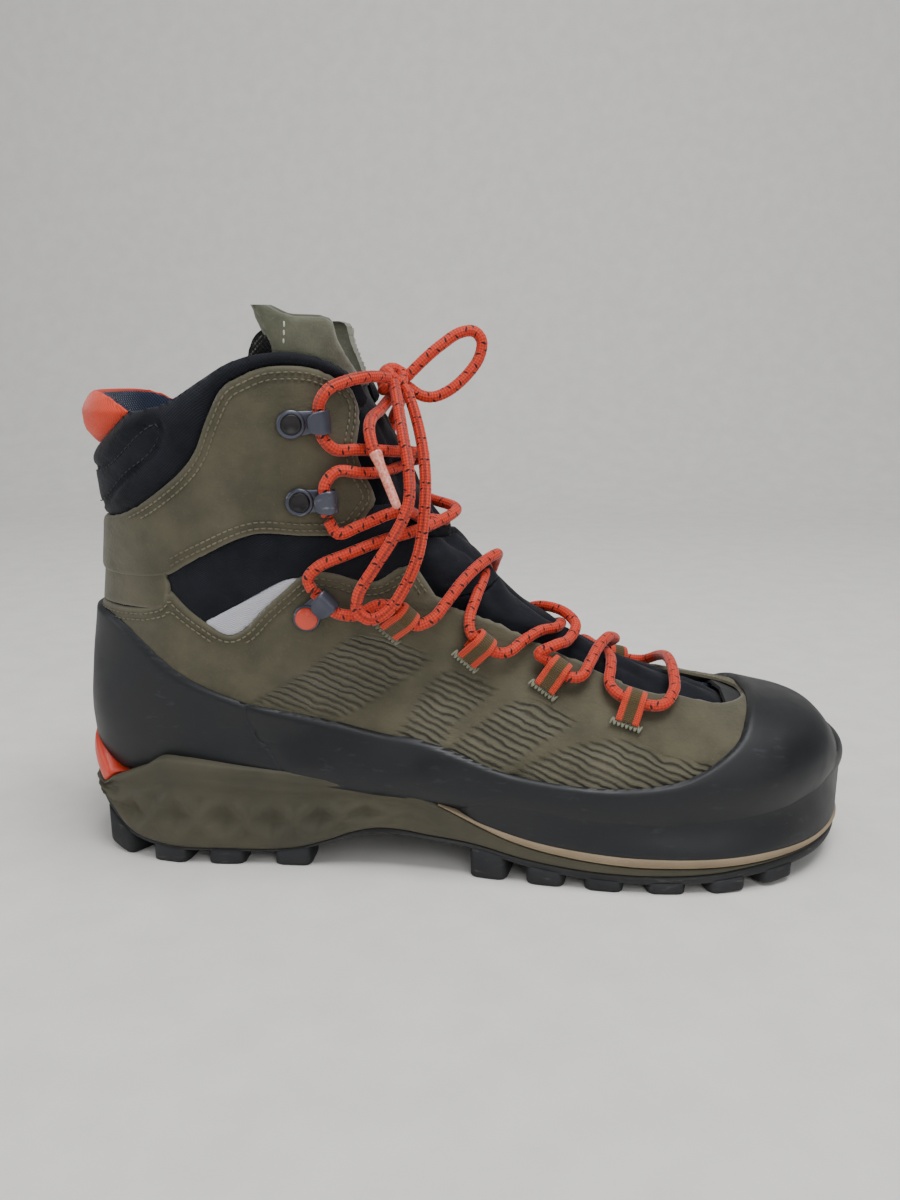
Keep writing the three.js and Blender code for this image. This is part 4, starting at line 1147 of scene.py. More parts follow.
@dataclass(frozen=True)
class Nubuck(Finish):
    """Cowhide buffed on its grain side: a matt nap that mottles, lighter and rubbed at cut edges; painted shade
    and highlight follow its ripples.

    Attributes:
        dark: Colour of the shaded nap.
        light: Colour of the rubbed nap, also laid as a painted highlight on the ripple tops.
        grit: Colour of dust.
        dust: Share of pale dust.
        shade: Colour of the painted shade at the bottom of pressed ripples.
        ripple_pitch: Distance between pressed ripples, mm.
        slant: Direction across the ripples.
        wander: Sizes in mm and swings in radians of the noises that move the ripples.
    """

    dark: str = "#4d4a3b"
    light: str = "#726e5c"
    grit: str = "#8d8778"
    dust: float = 0.14
    shade: str = "#2c2a22"
    ripple_pitch: float = 2.6
    slant: tuple[float, float, float] = (0.40, 0.0, 0.92)
    wander: tuple[tuple[float, float], ...] = ((10.0, 8.0), (3.5, 2.2))

    def build(self) -> Material:
        """Makes the nap from patches of 16 mm and fibres of 0.8 mm, which are also the pores.

        Returns:
            The material.
        """
        material, add = self.begin()
        fine, ripple = self.mottle(add, 0.8, 4), self.ripples(add)
        edge = add("Attribute", attribute_name="edge_mm", out="Fac")
        nap = self.layered(add, self.dark, (
            (add("MapRange", self.mottle(add, 16, 4), 0.35, 0.65), self.base),
            (add("MapRange", fine, 0.55, 0.8, 0, 0.4), self.light),
            (add("MapRange", edge, 0.15, 1.3, 0.55, 0.0), self.light),
            # Painted shade: the ripple valleys are darkened towards the shade colour.
            (add("MapRange", ripple, -0.8, -0.1, 0.6, 0.0), self.shade),
            # Painted highlight: the ripple tops are lightened towards the light colour.
            (add("MapRange", ripple, 0.35, 1.0, 0.0, 0.4), self.light),
            (add("MapRange", self.mottle(add, 30, 5), 0.5, 0.75, 0, self.dust), self.grit)))
        normal = None
        for height, depth in ((fine, 0.16), (self.mottle(add, 4.5, 3, (1.0, 1.0, 2.4)), 0.35),
                              (add("MapRange", ripple, -1.0, 1.0), 1.1)):
            under = {"Normal": normal} if normal else {}
            normal = add("Bump", named={"Strength": 1.0, "Distance": depth * MM, "Height": height, **under})
        self.close(add, nap, add("MapRange", fine, 0.3, 0.7, *self.roughness), normal,
                   Specular_IOR_Level=0.25, Sheen_Weight=0.25, Sheen_Roughness=0.5)
        return material

    def ripples(self, add: Add) -> Socket:
        """Height of the pressed ripples, nought where the "pressed" attribute is nought.

        The phase is the place along a slanting direction over the pitch, moved by two noises; a sine of
        it is sharpened so that the valleys are narrow.

        Args:
            add: Adds a node to the material.

        Returns:
            The height, from -1 to 1.
        """
        run = add("VectorMath", add("TexCoord", out="Object"), self.slant, operation="DOT_PRODUCT")
        phase = add("Math", run, turn_per(self.ripple_pitch), operation="MULTIPLY")
        for size, swing in self.wander:
            phase = add("Math", phase, add("Math", self.mottle(add, size, 1), swing, operation="MULTIPLY"),
                        operation="ADD")
        valley = add("MapRange", add("Math", phase, operation="SINE"), 1.0, -1.0)
        narrow = add("Math", add("Math", valley, 2.4, operation="POWER"), 2.0, operation="MULTIPLY")
        height = add("Math", 1.0, narrow, operation="SUBTRACT")
        return add("Math", height, add("Attribute", attribute_name="pressed", out="Fac"),
                   operation="MULTIPLY")


@dataclass(frozen=True)
class Moulded(Finish):
    """Rubber, foam, plastic or metal from a mould or press, and thick thread: clouds, grain and scuffs.

    Attributes:
        dark: Colour of the darker clouds.
        scuff: Colour of scuffs and dust.
        scuffed: Share of them.
        grain: Size of the moulded grain, mm.
        depth: Depth of the grain, mm.
        metallic: Metallic value.
        ior: Index of refraction.
        coat: Clear coat weight.
    """

    dark: str = "#000000"
    scuff: str = "#8a8a86"
    scuffed: float = 0.15
    grain: float = 0.5
    depth: float = 0.04
    metallic: float = 0.0
    ior: float = 1.5
    coat: float = 0.0

    def build(self) -> Material:
        """Makes clouds of 22 mm, scuffs from stretched noise of 2.5 mm, and grain for the bump.

        Returns:
            The material.
        """
        material, add = self.begin()
        cloud, edge = self.mottle(add, 22, 4), add("Attribute", attribute_name="edge_mm", out="Fac")
        marks = add("Math", add("MapRange", self.mottle(add, 2.5, 6, (0.35, 1, 1.4)), 0.58, 0.72),
                    add("MapRange", self.mottle(add, 26, 2), 0.45, 0.62), operation="MULTIPLY")
        worn = add("Math", marks, add("MapRange", edge, 0.1, 0.9, 0.35, 0), operation="MAXIMUM")
        share = add("Math", worn, self.scuffed, operation="MULTIPLY")
        colour = self.layered(add, self.dark, ((add("MapRange", cloud, 0.35, 0.65), self.base),
                                               (share, self.scuff)))
        rough = add("MapRange", add("Math", cloud, share, operation="ADD"), 0.3, 0.9, *self.roughness)
        normal = add("Bump", named={"Strength": 1.0, "Distance": self.depth * MM,
                                    "Height": self.mottle(add, self.grain, 3)})
        shader = {"Metallic": self.metallic, "Coat_Weight": self.coat, "Coat_Roughness": 0.25}
        self.close(add, colour, rough, normal, **shader, **({} if self.metallic else {"IOR": self.ior}))
        return material


@dataclass(frozen=True)
class Woven(Finish):
    """Woven or knitted cloth: threads crossing at a pitch, with a painted highlight on top and painted shade in
    the gaps.

    Attributes:
        dark: Colour of the painted shade between the threads.
        light: Colour of the painted highlight on the thread tops.
        lint: Colour of lint.
        pitch: Spacing of the threads, mm, drawn coarser than real cloth so that it shows.
        depth: Depth of the weave, mm.
        creases: Depth of soft creases, mm.
        sheen: Sheen weight.
        dusty: Share of pale lint.
        wander: How far the threads wander, m.
    """

    dark: str = "#08090c"
    light: str = "#2c2f38"
    lint: str = "#9a9aa0"
    pitch: float = 0.9
    depth: float = 0.15
    creases: float = 0.5
    sheen: float = 0.3
    dusty: float = 0.1
    wander: tuple[float, float, float] = (0.0006, 0.0006, 0.0)

    def build(self) -> Material:
        """Makes the weave's height as the product of two crossed sines of the surface's own place.

        Returns:
            The material.
        """
        material, add = self.begin()
        drift = add("TexNoise", add("TexCoord", out="Object"), per_mm(8), out="Color")
        moved = add("VectorMath", add("UVMap", uv_map="surface"),
                    add("VectorMath", drift, self.wander, operation="MULTIPLY"), operation="ADD")
        parts = add("SeparateXYZ", moved).node.outputs
        warp, weft = (self.wave(add, parts[axis], self.pitch) for axis in "XY")
        height = add("MapRange", add("Math", warp, weft, operation="MULTIPLY"), -1, 1)
        colour = self.layered(add, self.dark, (
            # Painted highlight and shade: the weave height lightens the thread tops and leaves the gaps dark.
            (height, self.light),
            (add("MapRange", self.mottle(add, 12, 4), 0.35, 0.7), self.base),
            (add("MapRange", self.mottle(add, 0.9, 5), 0.66, 0.74, 0, self.dusty), self.lint)))
        weave = add("Bump", named={"Strength": 1.0, "Distance": self.depth * MM, "Height": height})
        normal = add("Bump", named={"Strength": 1.0, "Distance": self.creases * MM, "Normal": weave,
                                    "Height": self.mottle(add, 9, 2, (1.0, 1.0, 1.8))})
        self.close(add, colour, add("MapRange", height, 0, 1, *self.roughness), normal,
                   Specular_IOR_Level=0.2, Sheen_Weight=self.sheen, Sheen_Roughness=0.4)
        return material


@dataclass(frozen=True)
class Braid(Finish):
    """Braided polyester cord: strands that cross in a herringbone, with dark tracer threads in pairs.

    Attributes:
        gap: Colour of the painted shade between the strands.
        worn: Colour of rubbed strands.
        tracer: Colour of the tracer threads.
        strand: Length of one crossing along the cord, mm.
        repeat: Length in which a tracer goes once round the cord, mm.
        dash: Length of a tracer dash and its gap, mm.
        radius: Radius of the cord, mm.
    """

    gap: str = "#b92f18"
    worn: str = "#f0674c"
    tracer: str = "#1b1516"
    strand: float = 1.15
    repeat: float = 9.2
    dash: float = 2.3
    radius: float = 2.2

    def build(self) -> Material:
        """Makes strands as the product of two slanted sines of (round, along), and tracers as dashes.

        Returns:
            The material.
        """
        material, add = self.begin()
        parts = add("SeparateXYZ", add("UVMap", uv_map="surface")).node.outputs
        scaled = [add("Math", parts[axis], scale, operation="MULTIPLY") for axis, scale in (
            ("X", 6 / (self.radius * MM)), ("Y", turn_per(2 * self.strand)), ("Y", turn_per(self.repeat)),
            ("X", per_mm(self.radius)))]
        strands = add("Math", *self.crossed(add, *scaled[:2]), operation="MULTIPLY")
        tracers = add("Math", *self.crossed(add, *scaled[2:]), operation="MAXIMUM")
        height = add("MapRange", strands, -0.7, 0.9)
        fleck = add("Math", add("MapRange", tracers, 0.93, 0.96),
                    add("MapRange", self.wave(add, parts["Y"], self.dash), 0.0, 0.3), operation="MULTIPLY")
        rubbed = add("MapRange", self.mottle(add, 7, 3), 0.4, 0.75, 0, 0.5)
        # Painted shade: the gap colour fills the low places between the strands, and the strand tops take the
        # base colour.
        colour = self.layered(add, self.gap,
                              ((height, self.layered(add, self.base, ((rubbed, self.worn),))),
                                              (fleck, self.tracer)))
        normal = add("Bump", named={"Strength": 1.0, "Distance": 0.16 * MM, "Height": height})
        self.close(add, colour, add("MapRange", height, 0, 1, *self.roughness), normal,
                   Specular_IOR_Level=0.35, Sheen_Weight=0.25, Sheen_Roughness=0.35)
        return material


@dataclass(frozen=True)
class Ribbon(Finish):
    """Narrow woven webbing: ribs across it, a darker middle stripe between coloured selvedges.

    Attributes:
        middle: Colour of the stripe.
        shadow: Colour between the ribs.
        stripe: Half width of the stripe, mm.
        soft: Half width of the stripe's border, mm.
        rib: Pitch of the ribs, mm.
        warp: Pitch of the threads along it, mm.
    """

    middle: str = "#5a4a2c"
    shadow: str = "#1a1210"
    stripe: float = 2.1
    soft: float = 0.25
    rib: float = 0.75
    warp: float = 0.8

    def build(self) -> Material:
        """Makes the stripe from the place across the strip, and the ribs from the place along it.

        Returns:
            The material.
        """
        material, add = self.begin()
        parts = add("SeparateXYZ", add("UVMap", uv_map="surface")).node.outputs
        threads = add("Math", self.wave(add, parts["Y"], self.rib), self.wave(add, parts["X"], self.warp),
                      operation="ADD")
        height = add("MapRange", threads, -2, 2)
        off = add("Math", parts["X"], operation="ABSOLUTE")
        border = add("MapRange", off, (self.stripe - self.soft) * MM, (self.stripe + self.soft) * MM)
        colour = self.layered(add, self.middle, (
            (border, self.base), (add("MapRange", height, 0, 0.6, 0.45, 0), self.shadow)))
        normal = add("Bump", named={"Strength": 1.0, "Distance": 0.25 * MM, "Height": height})
        self.close(add, colour, add("MapRange", height, 0, 1, *self.roughness), normal,
                   Specular_IOR_Level=0.3, Sheen_Weight=0.2)
        return material


@dataclass(frozen=True)
class ClearTube(Finish):
    """Clear shrunk tube over the lace's end: a glossy coat over the orange braid that it grips.

    Attributes:
        haze: Colour where the plastic stands off the braid.
    """

    haze: str = "#f2b3a2"

    def build(self) -> Material:
        """Makes the braid show through pale plastic as soft patches of 1.1 mm.

        Returns:
            The material.
        """
        material, add = self.begin()
        streaks = self.mottle(add, 1.1, 3)
        colour = self.layered(add, self.base, ((add("MapRange", streaks, 0.35, 0.65), self.haze),))
        normal = add("Bump", named={"Strength": 1.0, "Distance": 0.06 * MM, "Height": streaks})
        self.close(add, colour, add("MapRange", streaks, 0.3, 0.7, *self.roughness), normal,
                   IOR=1.5, Coat_Weight=1.0, Coat_Roughness=0.08)
        return material


class Look(Enum):
    """Every finish of the boot, named for its real material."""

    # Buffed cowhide: a matt, slightly uneven nap that is paler where edges rub.
    LEATHER = Nubuck("olive_nubuck", "leather", "#5c5846", (0.78, 0.95))
    # Split suede: a longer nap than nubuck, greyer and with no shine at all.
    FLAP = Nubuck("olive_suede", "flap_fabric", "#6f705f", (0.85, 0.97), dark="#57594a", light="#83847a",
                  dust=0.15)
    # Sticky rubber, moulded smooth: near black with a soft sheen and faint grey scuffs.
    RAND = Moulded("climbing_rubber", "rand_rubber", "#101319", (0.42, 0.7), dark="#0b0d12",
                   scuff="#5b5e66",
                   scuffed=0.16, grain=0.6, depth=0.03, ior=1.52)
    # Hard carbon rubber from an open mould: duller than the rand, with dusty wear.
    OUTSOLE = Moulded("carbon_rubber", "outsole_rubber", "#17181b", (0.6, 0.85), dark="#202124",
                      scuff="#8d887c", scuffed=0.3, grain=0.5, depth=0.08, ior=1.52)
    # Foam cast against a steel mould: a closed satin skin with fine grain.
    MIDSOLE = Moulded("polyurethane_foam", "midsole_foam", "#4d4938", (0.5, 0.75), dark="#3e3b2d",
                      scuff="#757060", scuffed=0.15, grain=0.45, depth=0.06)
    # Cut sheet foam: open cells make it matt and chalky.
    CUSHION = Moulded("eva_foam", "cushion_foam", "#97856c", (0.7, 0.9), dark="#85745c", scuff="#b8ab95",
                      scuffed=0.4, grain=0.4, depth=0.08)
    # Hard plastic from a polished mould: bright colour with clear highlights and dark scrapes.
    WELT = Moulded("moulded_polyurethane", "welt_plastic", "#e2442a", (0.35, 0.5), dark="#cf3a22",
                   scuff="#7d2b1d", scuffed=0.3, grain=0.7, depth=0.02)
    # Stretch weave with a brushed back: soft, dark, and creased where the foot bends.
    STRETCH = Woven("stretch_softshell", "stretch_fabric", "#15171d", (0.75, 0.95), pitch=0.9, depth=0.1,
                    creases=0.8, sheen=0.12, dusty=0.05)
    # Loose knit: visible loops with painted shade in the gaps.
    LINING = Woven("lining_knit", "lining_fabric", "#1c2436", (0.8, 0.95), dark="#0d121d", light="#33405c",
                   pitch=1.6, depth=0.3, creases=0.2)
    # Cloth with glass beads printed on: pale and brighter than any cloth beside it.
    MESH = Woven("reflective_mesh", "mesh_fabric", "#c7c7cf", (0.45, 0.6), dark="#9c9ca6", light="#dedee6",
                 pitch=1.0, depth=0.15, creases=0.3, sheen=0.1, dusty=0.0)
    # Knit over foam: saturated colour with a soft bloom at the edges.
    ACCENT = Woven("padded_knit", "accent_fabric", "#e4482c", (0.7, 0.9), dark="#b5301a", light="#f0624a",
                   pitch=0.7, depth=0.1, creases=0.5, dusty=0.05)
    # Brushed pile: rough and fuzzy, with a pale rim of fibre ends.
    FUZZ = Woven("brushed_fleece", "lining_fabric", "#17181a", (0.9, 1.0), dark="#090909", light="#34342f",
                 pitch=1.3, depth=0.6, creases=1.2, sheen=0.6)
    # Needled felt: flat, dark and even.
    FOOTBED = Woven("footbed_felt", "lining_fabric", "#2b2d33", (0.85, 0.95), pitch=1.0, depth=0.1,
                    creases=0.2)
    # Tight round braid: small crossing strands with short black dashes.
    LACE = Braid("braided_polyester", "lace_cord", "#e4432a", (0.5, 0.75))
    # Flat webbing: fine ribs across, two bright borders and an earthy stripe.
    WEBBING = Ribbon("woven_webbing", "accent_fabric", "#e2492c", (0.6, 0.85))
    # Threads drawn tight: each stitch is a small satin bead.
    TACK = Moulded("bar_tack_thread", "leather", "#8b8c78", (0.5, 0.7), dark="#6c6d5a", scuffed=0.1,
                   grain=0.35, depth=0.08)
    THREAD = Moulded("polyester_thread", "leather", "#7a7560", (0.5, 0.7), dark="#625d4b", scuffed=0.2,
                     grain=0.3, depth=0.05)
    PALE_THREAD = Moulded("pale_thread", "flap_fabric", "#d9d9cf", (0.5, 0.7), dark="#c3c3b8", scuffed=0.1,
                          grain=0.3)
    DARK_THREAD = Moulded("black_thread", "stretch_fabric", "#24262c", (0.5, 0.7), dark="#17181d",
                          scuffed=0.1, grain=0.3)
    # Pressed steel with a dark baked coat: grey metal that wears to bare steel.
    HOOK = Moulded("coated_steel", "hook_metal", "#5c5e69", (0.3, 0.5), dark="#4c4e59", scuff="#b9bac2",
                   scuffed=0.7, grain=0.8, depth=0.015, metallic=0.75)
    # Oiled steel, turned and rolled: darker than the hook, with tight highlights.
    RIVET = Moulded("dark_steel", "hook_metal", "#3c3a3b", (0.3, 0.45), dark="#2e2c2d", scuff="#8d8a86",
                    scuffed=0.5, grain=0.6, depth=0.015, metallic=0.8)
    # Enamel baked on a rivet: glossy and slightly uneven, chipped at its rim.
    ENAMEL = Moulded("enamelled_rivet", "accent_metal", "#e4492c", (0.25, 0.4), dark="#d23f24",
                     scuff="#7c3325", scuffed=0.5, grain=0.9, depth=0.02, coat=0.4)
    # Pressed cellulose board: matt, straw-coloured and flecked.
    BOARD = Moulded("pressed_fibre", "fibre_board", "#b09468", (0.85, 0.95), dark="#98804f", grain=0.6,
                    depth=0.1)
    # Heat-formed sheet: plain and dull, like thick felt soaked in plastic.
    PUFF = Moulded("thermoplastic_stiffener", "fibre_board", "#1b1c20", (0.6, 0.8), dark="#141518",
                   grain=0.6, depth=0.05)
    # Rolled spring steel: bare, bright and smooth.
    STEEL = Moulded("spring_steel", "shank_steel", "#9b9da0", (0.3, 0.45), dark="#88898c", metallic=1.0,
                    depth=0.01)
    # Shrunk tube: clear gloss that mutes the braid under it.
    TIP = ClearTube("clear_tube", "clear_plastic", "#e2735b", (0.15, 0.3))


MADE: dict[Look, Material] = {}


def dressed(look: Look) -> Material:
    """The material of a finish, made once.

    Args:
        look: The finish.

    Returns:
        The material.
    """
    if look not in MADE:
        MADE[look] = look.value.build()
    return MADE[look]


def add_piece(name: str, shell: Shell, look: Look, body: Body | None, *nodes: str) -> bpy.types.Object:
    """Makes a dressed piece that rides on a body and stands for some nodes.

    Args:
        name: Name of the piece.
        shell: Its mesh.
        look: Its finish.
        body: The body it rides on, or None for a piece left unattached.
        *nodes: CAD nodes that it replaces.

    Returns:
        The piece.
    """
    piece = make_object(name, shell, dressed(look))
    if body is not None:
        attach(piece, body.value)
    if nodes:
        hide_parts(*nodes)
    return piece


@dataclass(frozen=True)
class Stitching:
    """A sewn line: stitches of a length at a pitch, laid along an inset from a panel's edge.

    Attributes:
        length: Length of a stitch, mm.
        width: Thickness of the thread, mm.
        pitch: Distance between stitches, mm.
    """

    length: float = 2.0
    width: float = 0.7
    pitch: float = 2.45

    def along(self, outline: Array, insets: Sequence[float], lift: float,
              keep: Callable[[Array], Array]) -> Shell:
        """Stitches along one or more insets of an outline.

        Args:
            outline: Side-view pattern line, closed.
            insets: Distances from it, mm.
            lift: Height over the outer surface, mm.
            keep: Tells which points (x, y, z) the line may use.

        Returns:
            All the stitches.
        """
        template = bead(self.length, self.width, self.width)
        shells = []
        for inset in insets:
            for line in CUTTER.lines_at(outline, inset, keep):
                point = SURFACE.point(line[:, 0], line[:, 1])
                spot = even(np.column_stack([point, line]), self.pitch)
                if len(spot) < 3:
                    continue
                normal = SURFACE.normal(spot[:, 3], spot[:, 4])
                forward = np.gradient(spot[:, :3], axis=0)
                shells.append(repeat_along(template, spot[:, :3] + normal * lift, forward, normal))
        return Shell.merge(shells)


# ---------- sole ----------
PLAN = [(-154.5, 0), (-147, -23), (-120, -37), (-70, -38.5), (-15, -41.5), (35, -50.5), (70, -54.5),
        (105, -51), (133, -37), (149, -17), (155.5, 4), (152.5, 24), (138, 42.5), (112, 51), (82, 53.5),
        (45, 48), (0, 38), (-50, 36), (-100, 38.5), (-144, 26)]


def level(line: Array, x: Array) -> Array:
    """Height of a side-view line at places x."""
    order = np.argsort(line[:, 0])
    return np.interp(x, line[order, 0], line[order, 1])


def ramp(value: Array, low: float, high: float) -> Array:
    """Smooth step from 0 at low to 1 at high."""
    t = np.clip((value - low) / (high - low), 0, 1)
    return t * t * (3 - 2 * t)


@dataclass
class Sole:
    """Outsole with its lugs, midsole, cushion and heel welt, between side-view lines round one plan.

    Attributes:
        samples: Places round the plan.
        outsole_inset: The outsole's edge lies inside the midsole's, mm.
        welt_overhang: The heel welt stands out this far, mm.
    """

    samples: int = 520
    outsole_inset: float = 0.6
    welt_overhang: float = 1.6

    def __post_init__(self) -> None:
        """Samples the plan curve evenly, with its outward directions."""
        knots = np.array(PLAN, float) + (0, SURFACE.centre_shift)
        lap, per_span = 3, 24
        ring = smooth(np.vstack([knots[-lap:], knots, knots[:lap]]), per_span)
        curve = ring[lap * per_span:(lap + len(knots)) * per_span]
        closed = np.vstack([curve, curve[:1]])
        length = run_along(closed)
        at = np.arange(self.samples) * length[-1] / self.samples
        self.plan = np.column_stack([np.interp(at, length, closed[:, axis]) for axis in (0, 1)])
        tangent = unit(np.roll(self.plan, -1, 0) - np.roll(self.plan, 1, 0))
        self.outward = np.column_stack([tangent[:, 1], -tangent[:, 0]])

    def wall(self, bottom: Array, top: Array, profile: Callable[[Array, Array], Array], rows: int = 14,
             inward: float = 16.0, rim: float = 0.8) -> Shell:
        """A closed belt round the plan between two heights.

        Rows run from the inner bottom edge out, up the side and back in: the side stands at the plan
        moved outwards by the profile (x, share of the height), and both lips are rounded.

        Args:
            bottom: Height of the lower edge at each place.
            top: Height of the upper edge at each place.
            profile: Outward offset in mm.
            rows: Rows up the side.
            inward: How far the belt's inner wall lies inside.
            rim: Radius of the rounded lips.

        Returns:
            The belt, closed by its inner wall.
        """
        share = np.linspace(0, 1, rows)
        tall = np.maximum(top - bottom, 0.02)
        layers = []
        for part in share:
            out = profile(self.plan[:, 0], np.full(self.samples, part))
            near = np.minimum(part, 1 - part) * tall
            out = out - rim * (1 - np.sqrt(1 - (1 - np.clip(near / rim, 0, 1)) ** 2))
            ground = self.plan + self.outward * out[:, None]
            layers.append(np.column_stack([ground, bottom + tall * part]))
        inner = self.plan - self.outward * inward
        rings = [np.column_stack([inner, bottom])] + layers + [np.column_stack([inner, top])]
        points = np.stack(rings)
        run = np.arange(self.samples) * 1.7
        uv = np.stack(np.broadcast_arrays(run[None, :], points[..., 2]), -1).reshape(-1, 2)
        edge = np.concatenate([np.zeros(self.samples)]
                              + [np.minimum(part, 1 - part) * tall for part in share] + [np.zeros(self.samples)])
        faces = grid_faces(len(rings), self.samples, closed_rows=True, closed_columns=True)
        return Shell.of(points.reshape(-1, 3), faces, uv, edge)

    def sculpted(self, x: Array, share: Array) -> Array:
        """Side of the heel's midsole: a waist, a bulge under a slanting ridge, and diamond facets.

        The facets are the larger of two slanted saw teeth, deepest between the ridge and the outsole.

        Args:
            x: Places along the foot, mm.
            share: Share of the height, 0 to 1.

        Returns:
            Outward offset in mm.
        """
        heel = 1 - ramp(x, -50, 5)
        ridge = 0.72 - 0.1 * np.sin((x + 150) / 45)
        below = ramp(ridge - share, 0.0, 0.12)
        saw_a = np.abs(((x + share * 26) / 19) % 1 - 0.5) * 2
        saw_b = np.abs(((x - share * 30) / 19) % 1 - 0.5) * 2
        facets = (np.maximum(saw_a, saw_b) - 0.75) * ramp(share, 0.06, 0.2)
        lip = 1.1 * ramp(share, 0.84, 0.9)
        groove = -0.9 * np.exp(-((share - ridge - 0.06) / 0.045) ** 2)
        sculpture = heel * (0.9 * below + 4.4 * below * facets + groove)
        waist = 1.2 * (1 - heel) * (1 - ramp(share, 0.0, 0.5)) * 0.4
        return sculpture + lip * (0.4 + 0.6 * heel) - waist

    def make_midsole(self) -> None:
        """The midsole, with the sculpted heel, and the soft stripe over it."""
        x = self.plan[:, 0]
        top = np.where(x < -10, level(SOLE_TOP, x), level(STRIPE_BOTTOM, x)) - 0.15
        top = np.where(x < -129, np.interp(x, [-155, -146, -141, -129], [27.0, 28.0, 32.6, 38.2]), top)
        bottom = level(OUTSOLE_TOP, x) + 0.15
        add_piece("midsole", self.wall(bottom, np.maximum(top, bottom + 0.3), self.sculpted, rows=26),
                  Look.MIDSOLE,
                  Body.LOWER, "midsole")
        stripe_low, stripe_top = level(STRIPE_BOTTOM, x), level(SOLE_TOP, x) + 0.2
        front = x > -11
        low = np.where(front, stripe_low, stripe_top - 0.2)
        bulge = self.wall(np.minimum(low, stripe_top - 0.15), stripe_top,
                          lambda x, share: 0.7 * np.sin(math.pi * share) - 9.0 * (x < -10), rows=10,
                          rim=0.7)
        add_piece("midsole_cushion", bulge, Look.CUSHION, Body.LOWER, "midsole_cushion")

    def make_outsole(self) -> None:
        """The outsole's base and its lugs."""
        x = self.plan[:, 0]
        bottom, top = level(OUTSOLE_BOTTOM, x), level(OUTSOLE_TOP, x)
        rock = self.wall(bottom, np.maximum(top, bottom + 0.4),
                         lambda x, share: -self.outsole_inset + 0.5 * np.sin(math.pi * share), rows=10,
                         inward=30)
        add_piece("outsole", Shell.merge([rock, self.web(), *self.lugs()]), Look.OUTSOLE, Body.LOWER,
                  "outsole")

    def web(self) -> Shell:
        """The flat underside inside the belt: rows across the foot from side to side, as a closed plate.

        Returns:
            The plate.
        """
        x = np.linspace(-146, 147, 90)[:, None]
        half = np.interp(x, [-146, -120, -60, 0, 40, 75, 110, 135, 147],
                         [14, 32, 34, 36, 45, 48, 43, 30, 14])
        across = np.linspace(-1, 1, 15)[None, :]
        low = level(OUTSOLE_BOTTOM, x) + 0.2
        high = np.maximum(level(OUTSOLE_TOP, x) - 0.1, low + 0.3)
        return slab(*(np.stack(np.broadcast_arrays(x, SURFACE.centre_shift + across * half, height), -1)
                      for height in (low, high)))

    def lugs(self) -> list[Shell]:
        """Edge lugs that follow the plan, and a staggered row down the middle.

        Returns:
            The lugs.
        """
        heel = [-140, -117, -94, -68]
        front = [10, 32, 54, 78, 101, 122]
        shells = []
        for x in heel + front:
            depth = 18 if x < -50 else 22
            for side in (LATERAL, MEDIAL):
                near = np.flatnonzero(self.outward[:, 1] * side > 0.1)
                spot = near[np.argmin(np.abs(self.plan[near, 0] - x))]
                shells.append(self.lug(self.plan[spot], self.outward[spot], 15.5, depth))
        for x in (-128, -105, -81, 21, 43, 66, 90, 112, 134):
            centre = np.array([x, SURFACE.centre_shift + 10])
            shells.append(self.lug(centre, np.array([0.0, 1.0]), 13, 20))
        return shells

    def lug(self, rim: Array, outward: Array, length: float, depth: float) -> Shell:
        """One lug: a rounded block from the plan's edge inwards, its foot narrower than its root.

        Rows run up its sides; a row is a superellipse of power 5, and the top and bottom close to points.

        Args:
            rim: Middle of its outer side on the plan, (x, y).
            outward: Direction out of the plan.
            length: Size along the plan, mm.
            depth: Size across it, mm.

        Returns:
            The closed lug.
        """
        sides = 28
        turn = np.arange(sides) * 2 * math.pi / sides
        along = squared(np.cos(turn), 0.4)
        across = squared(np.sin(turn), 0.4)
        centre = rim - outward * (depth / 2 - 0.2)
        tangent = np.array([-outward[1], outward[0]])
        rows = [(0.0, 0.0), (0.0, 0.82), (0.0, 0.93), (0.04, 0.97), (0.3, 0.98), (1.0, 1.0), (1.0, 0.0)]
        layers = []
        for share, scale in rows:
            flat = centre + tangent * (along * length / 2 * scale)[:, None] + outward * (
                across * depth / 2 * min(scale * 1.03, 1.0))[:, None]
            low = np.maximum(level(GROUND_LINE, flat[:, 0]), 0)
            high = level(OUTSOLE_BOTTOM, flat[:, 0]) + 1.0
            layers.append(np.column_stack([flat, low + (high - low) * share]))
        layers[0][:, 2], layers[-1][:, 2] = layers[0][:, 2].mean(), layers[-1][:, 2].mean()
        points = np.vstack(layers)
        return weld(Shell.of(points, grid_faces(len(rows), sides, closed_columns=True)))

    def make_welt(self) -> None:
        """The orange heel welt that wraps the heel up to its slanting front."""
        x = self.plan[:, 0]
        top = np.interp(x, [-155, -152.5, -141, -139], [47.0, 46.0, 34.6, 33.0])
        bottom = np.interp(x, [-155, -152, -146, -141, -139], [35.5, 34.0, 28.2, 32.9, 32.8])

        def bulge(x: Array, share: Array) -> Array:
            """Stands out over its height, and is tucked in past its slanting front."""
            over = self.welt_overhang * np.sin(math.pi * (0.12 + 0.76 * share))
            return over - 7.0 * ramp(x, -141.5, -139.5)

        belt = self.wall(bottom, top, bulge, rows=12, rim=1.2)
        add_piece("heel_welt", belt, Look.WELT, Body.LOWER, "heel_welt")

    def build(self) -> None:
        """Makes the whole sole."""
        self.make_outsole()
        self.make_midsole()
        self.make_welt()


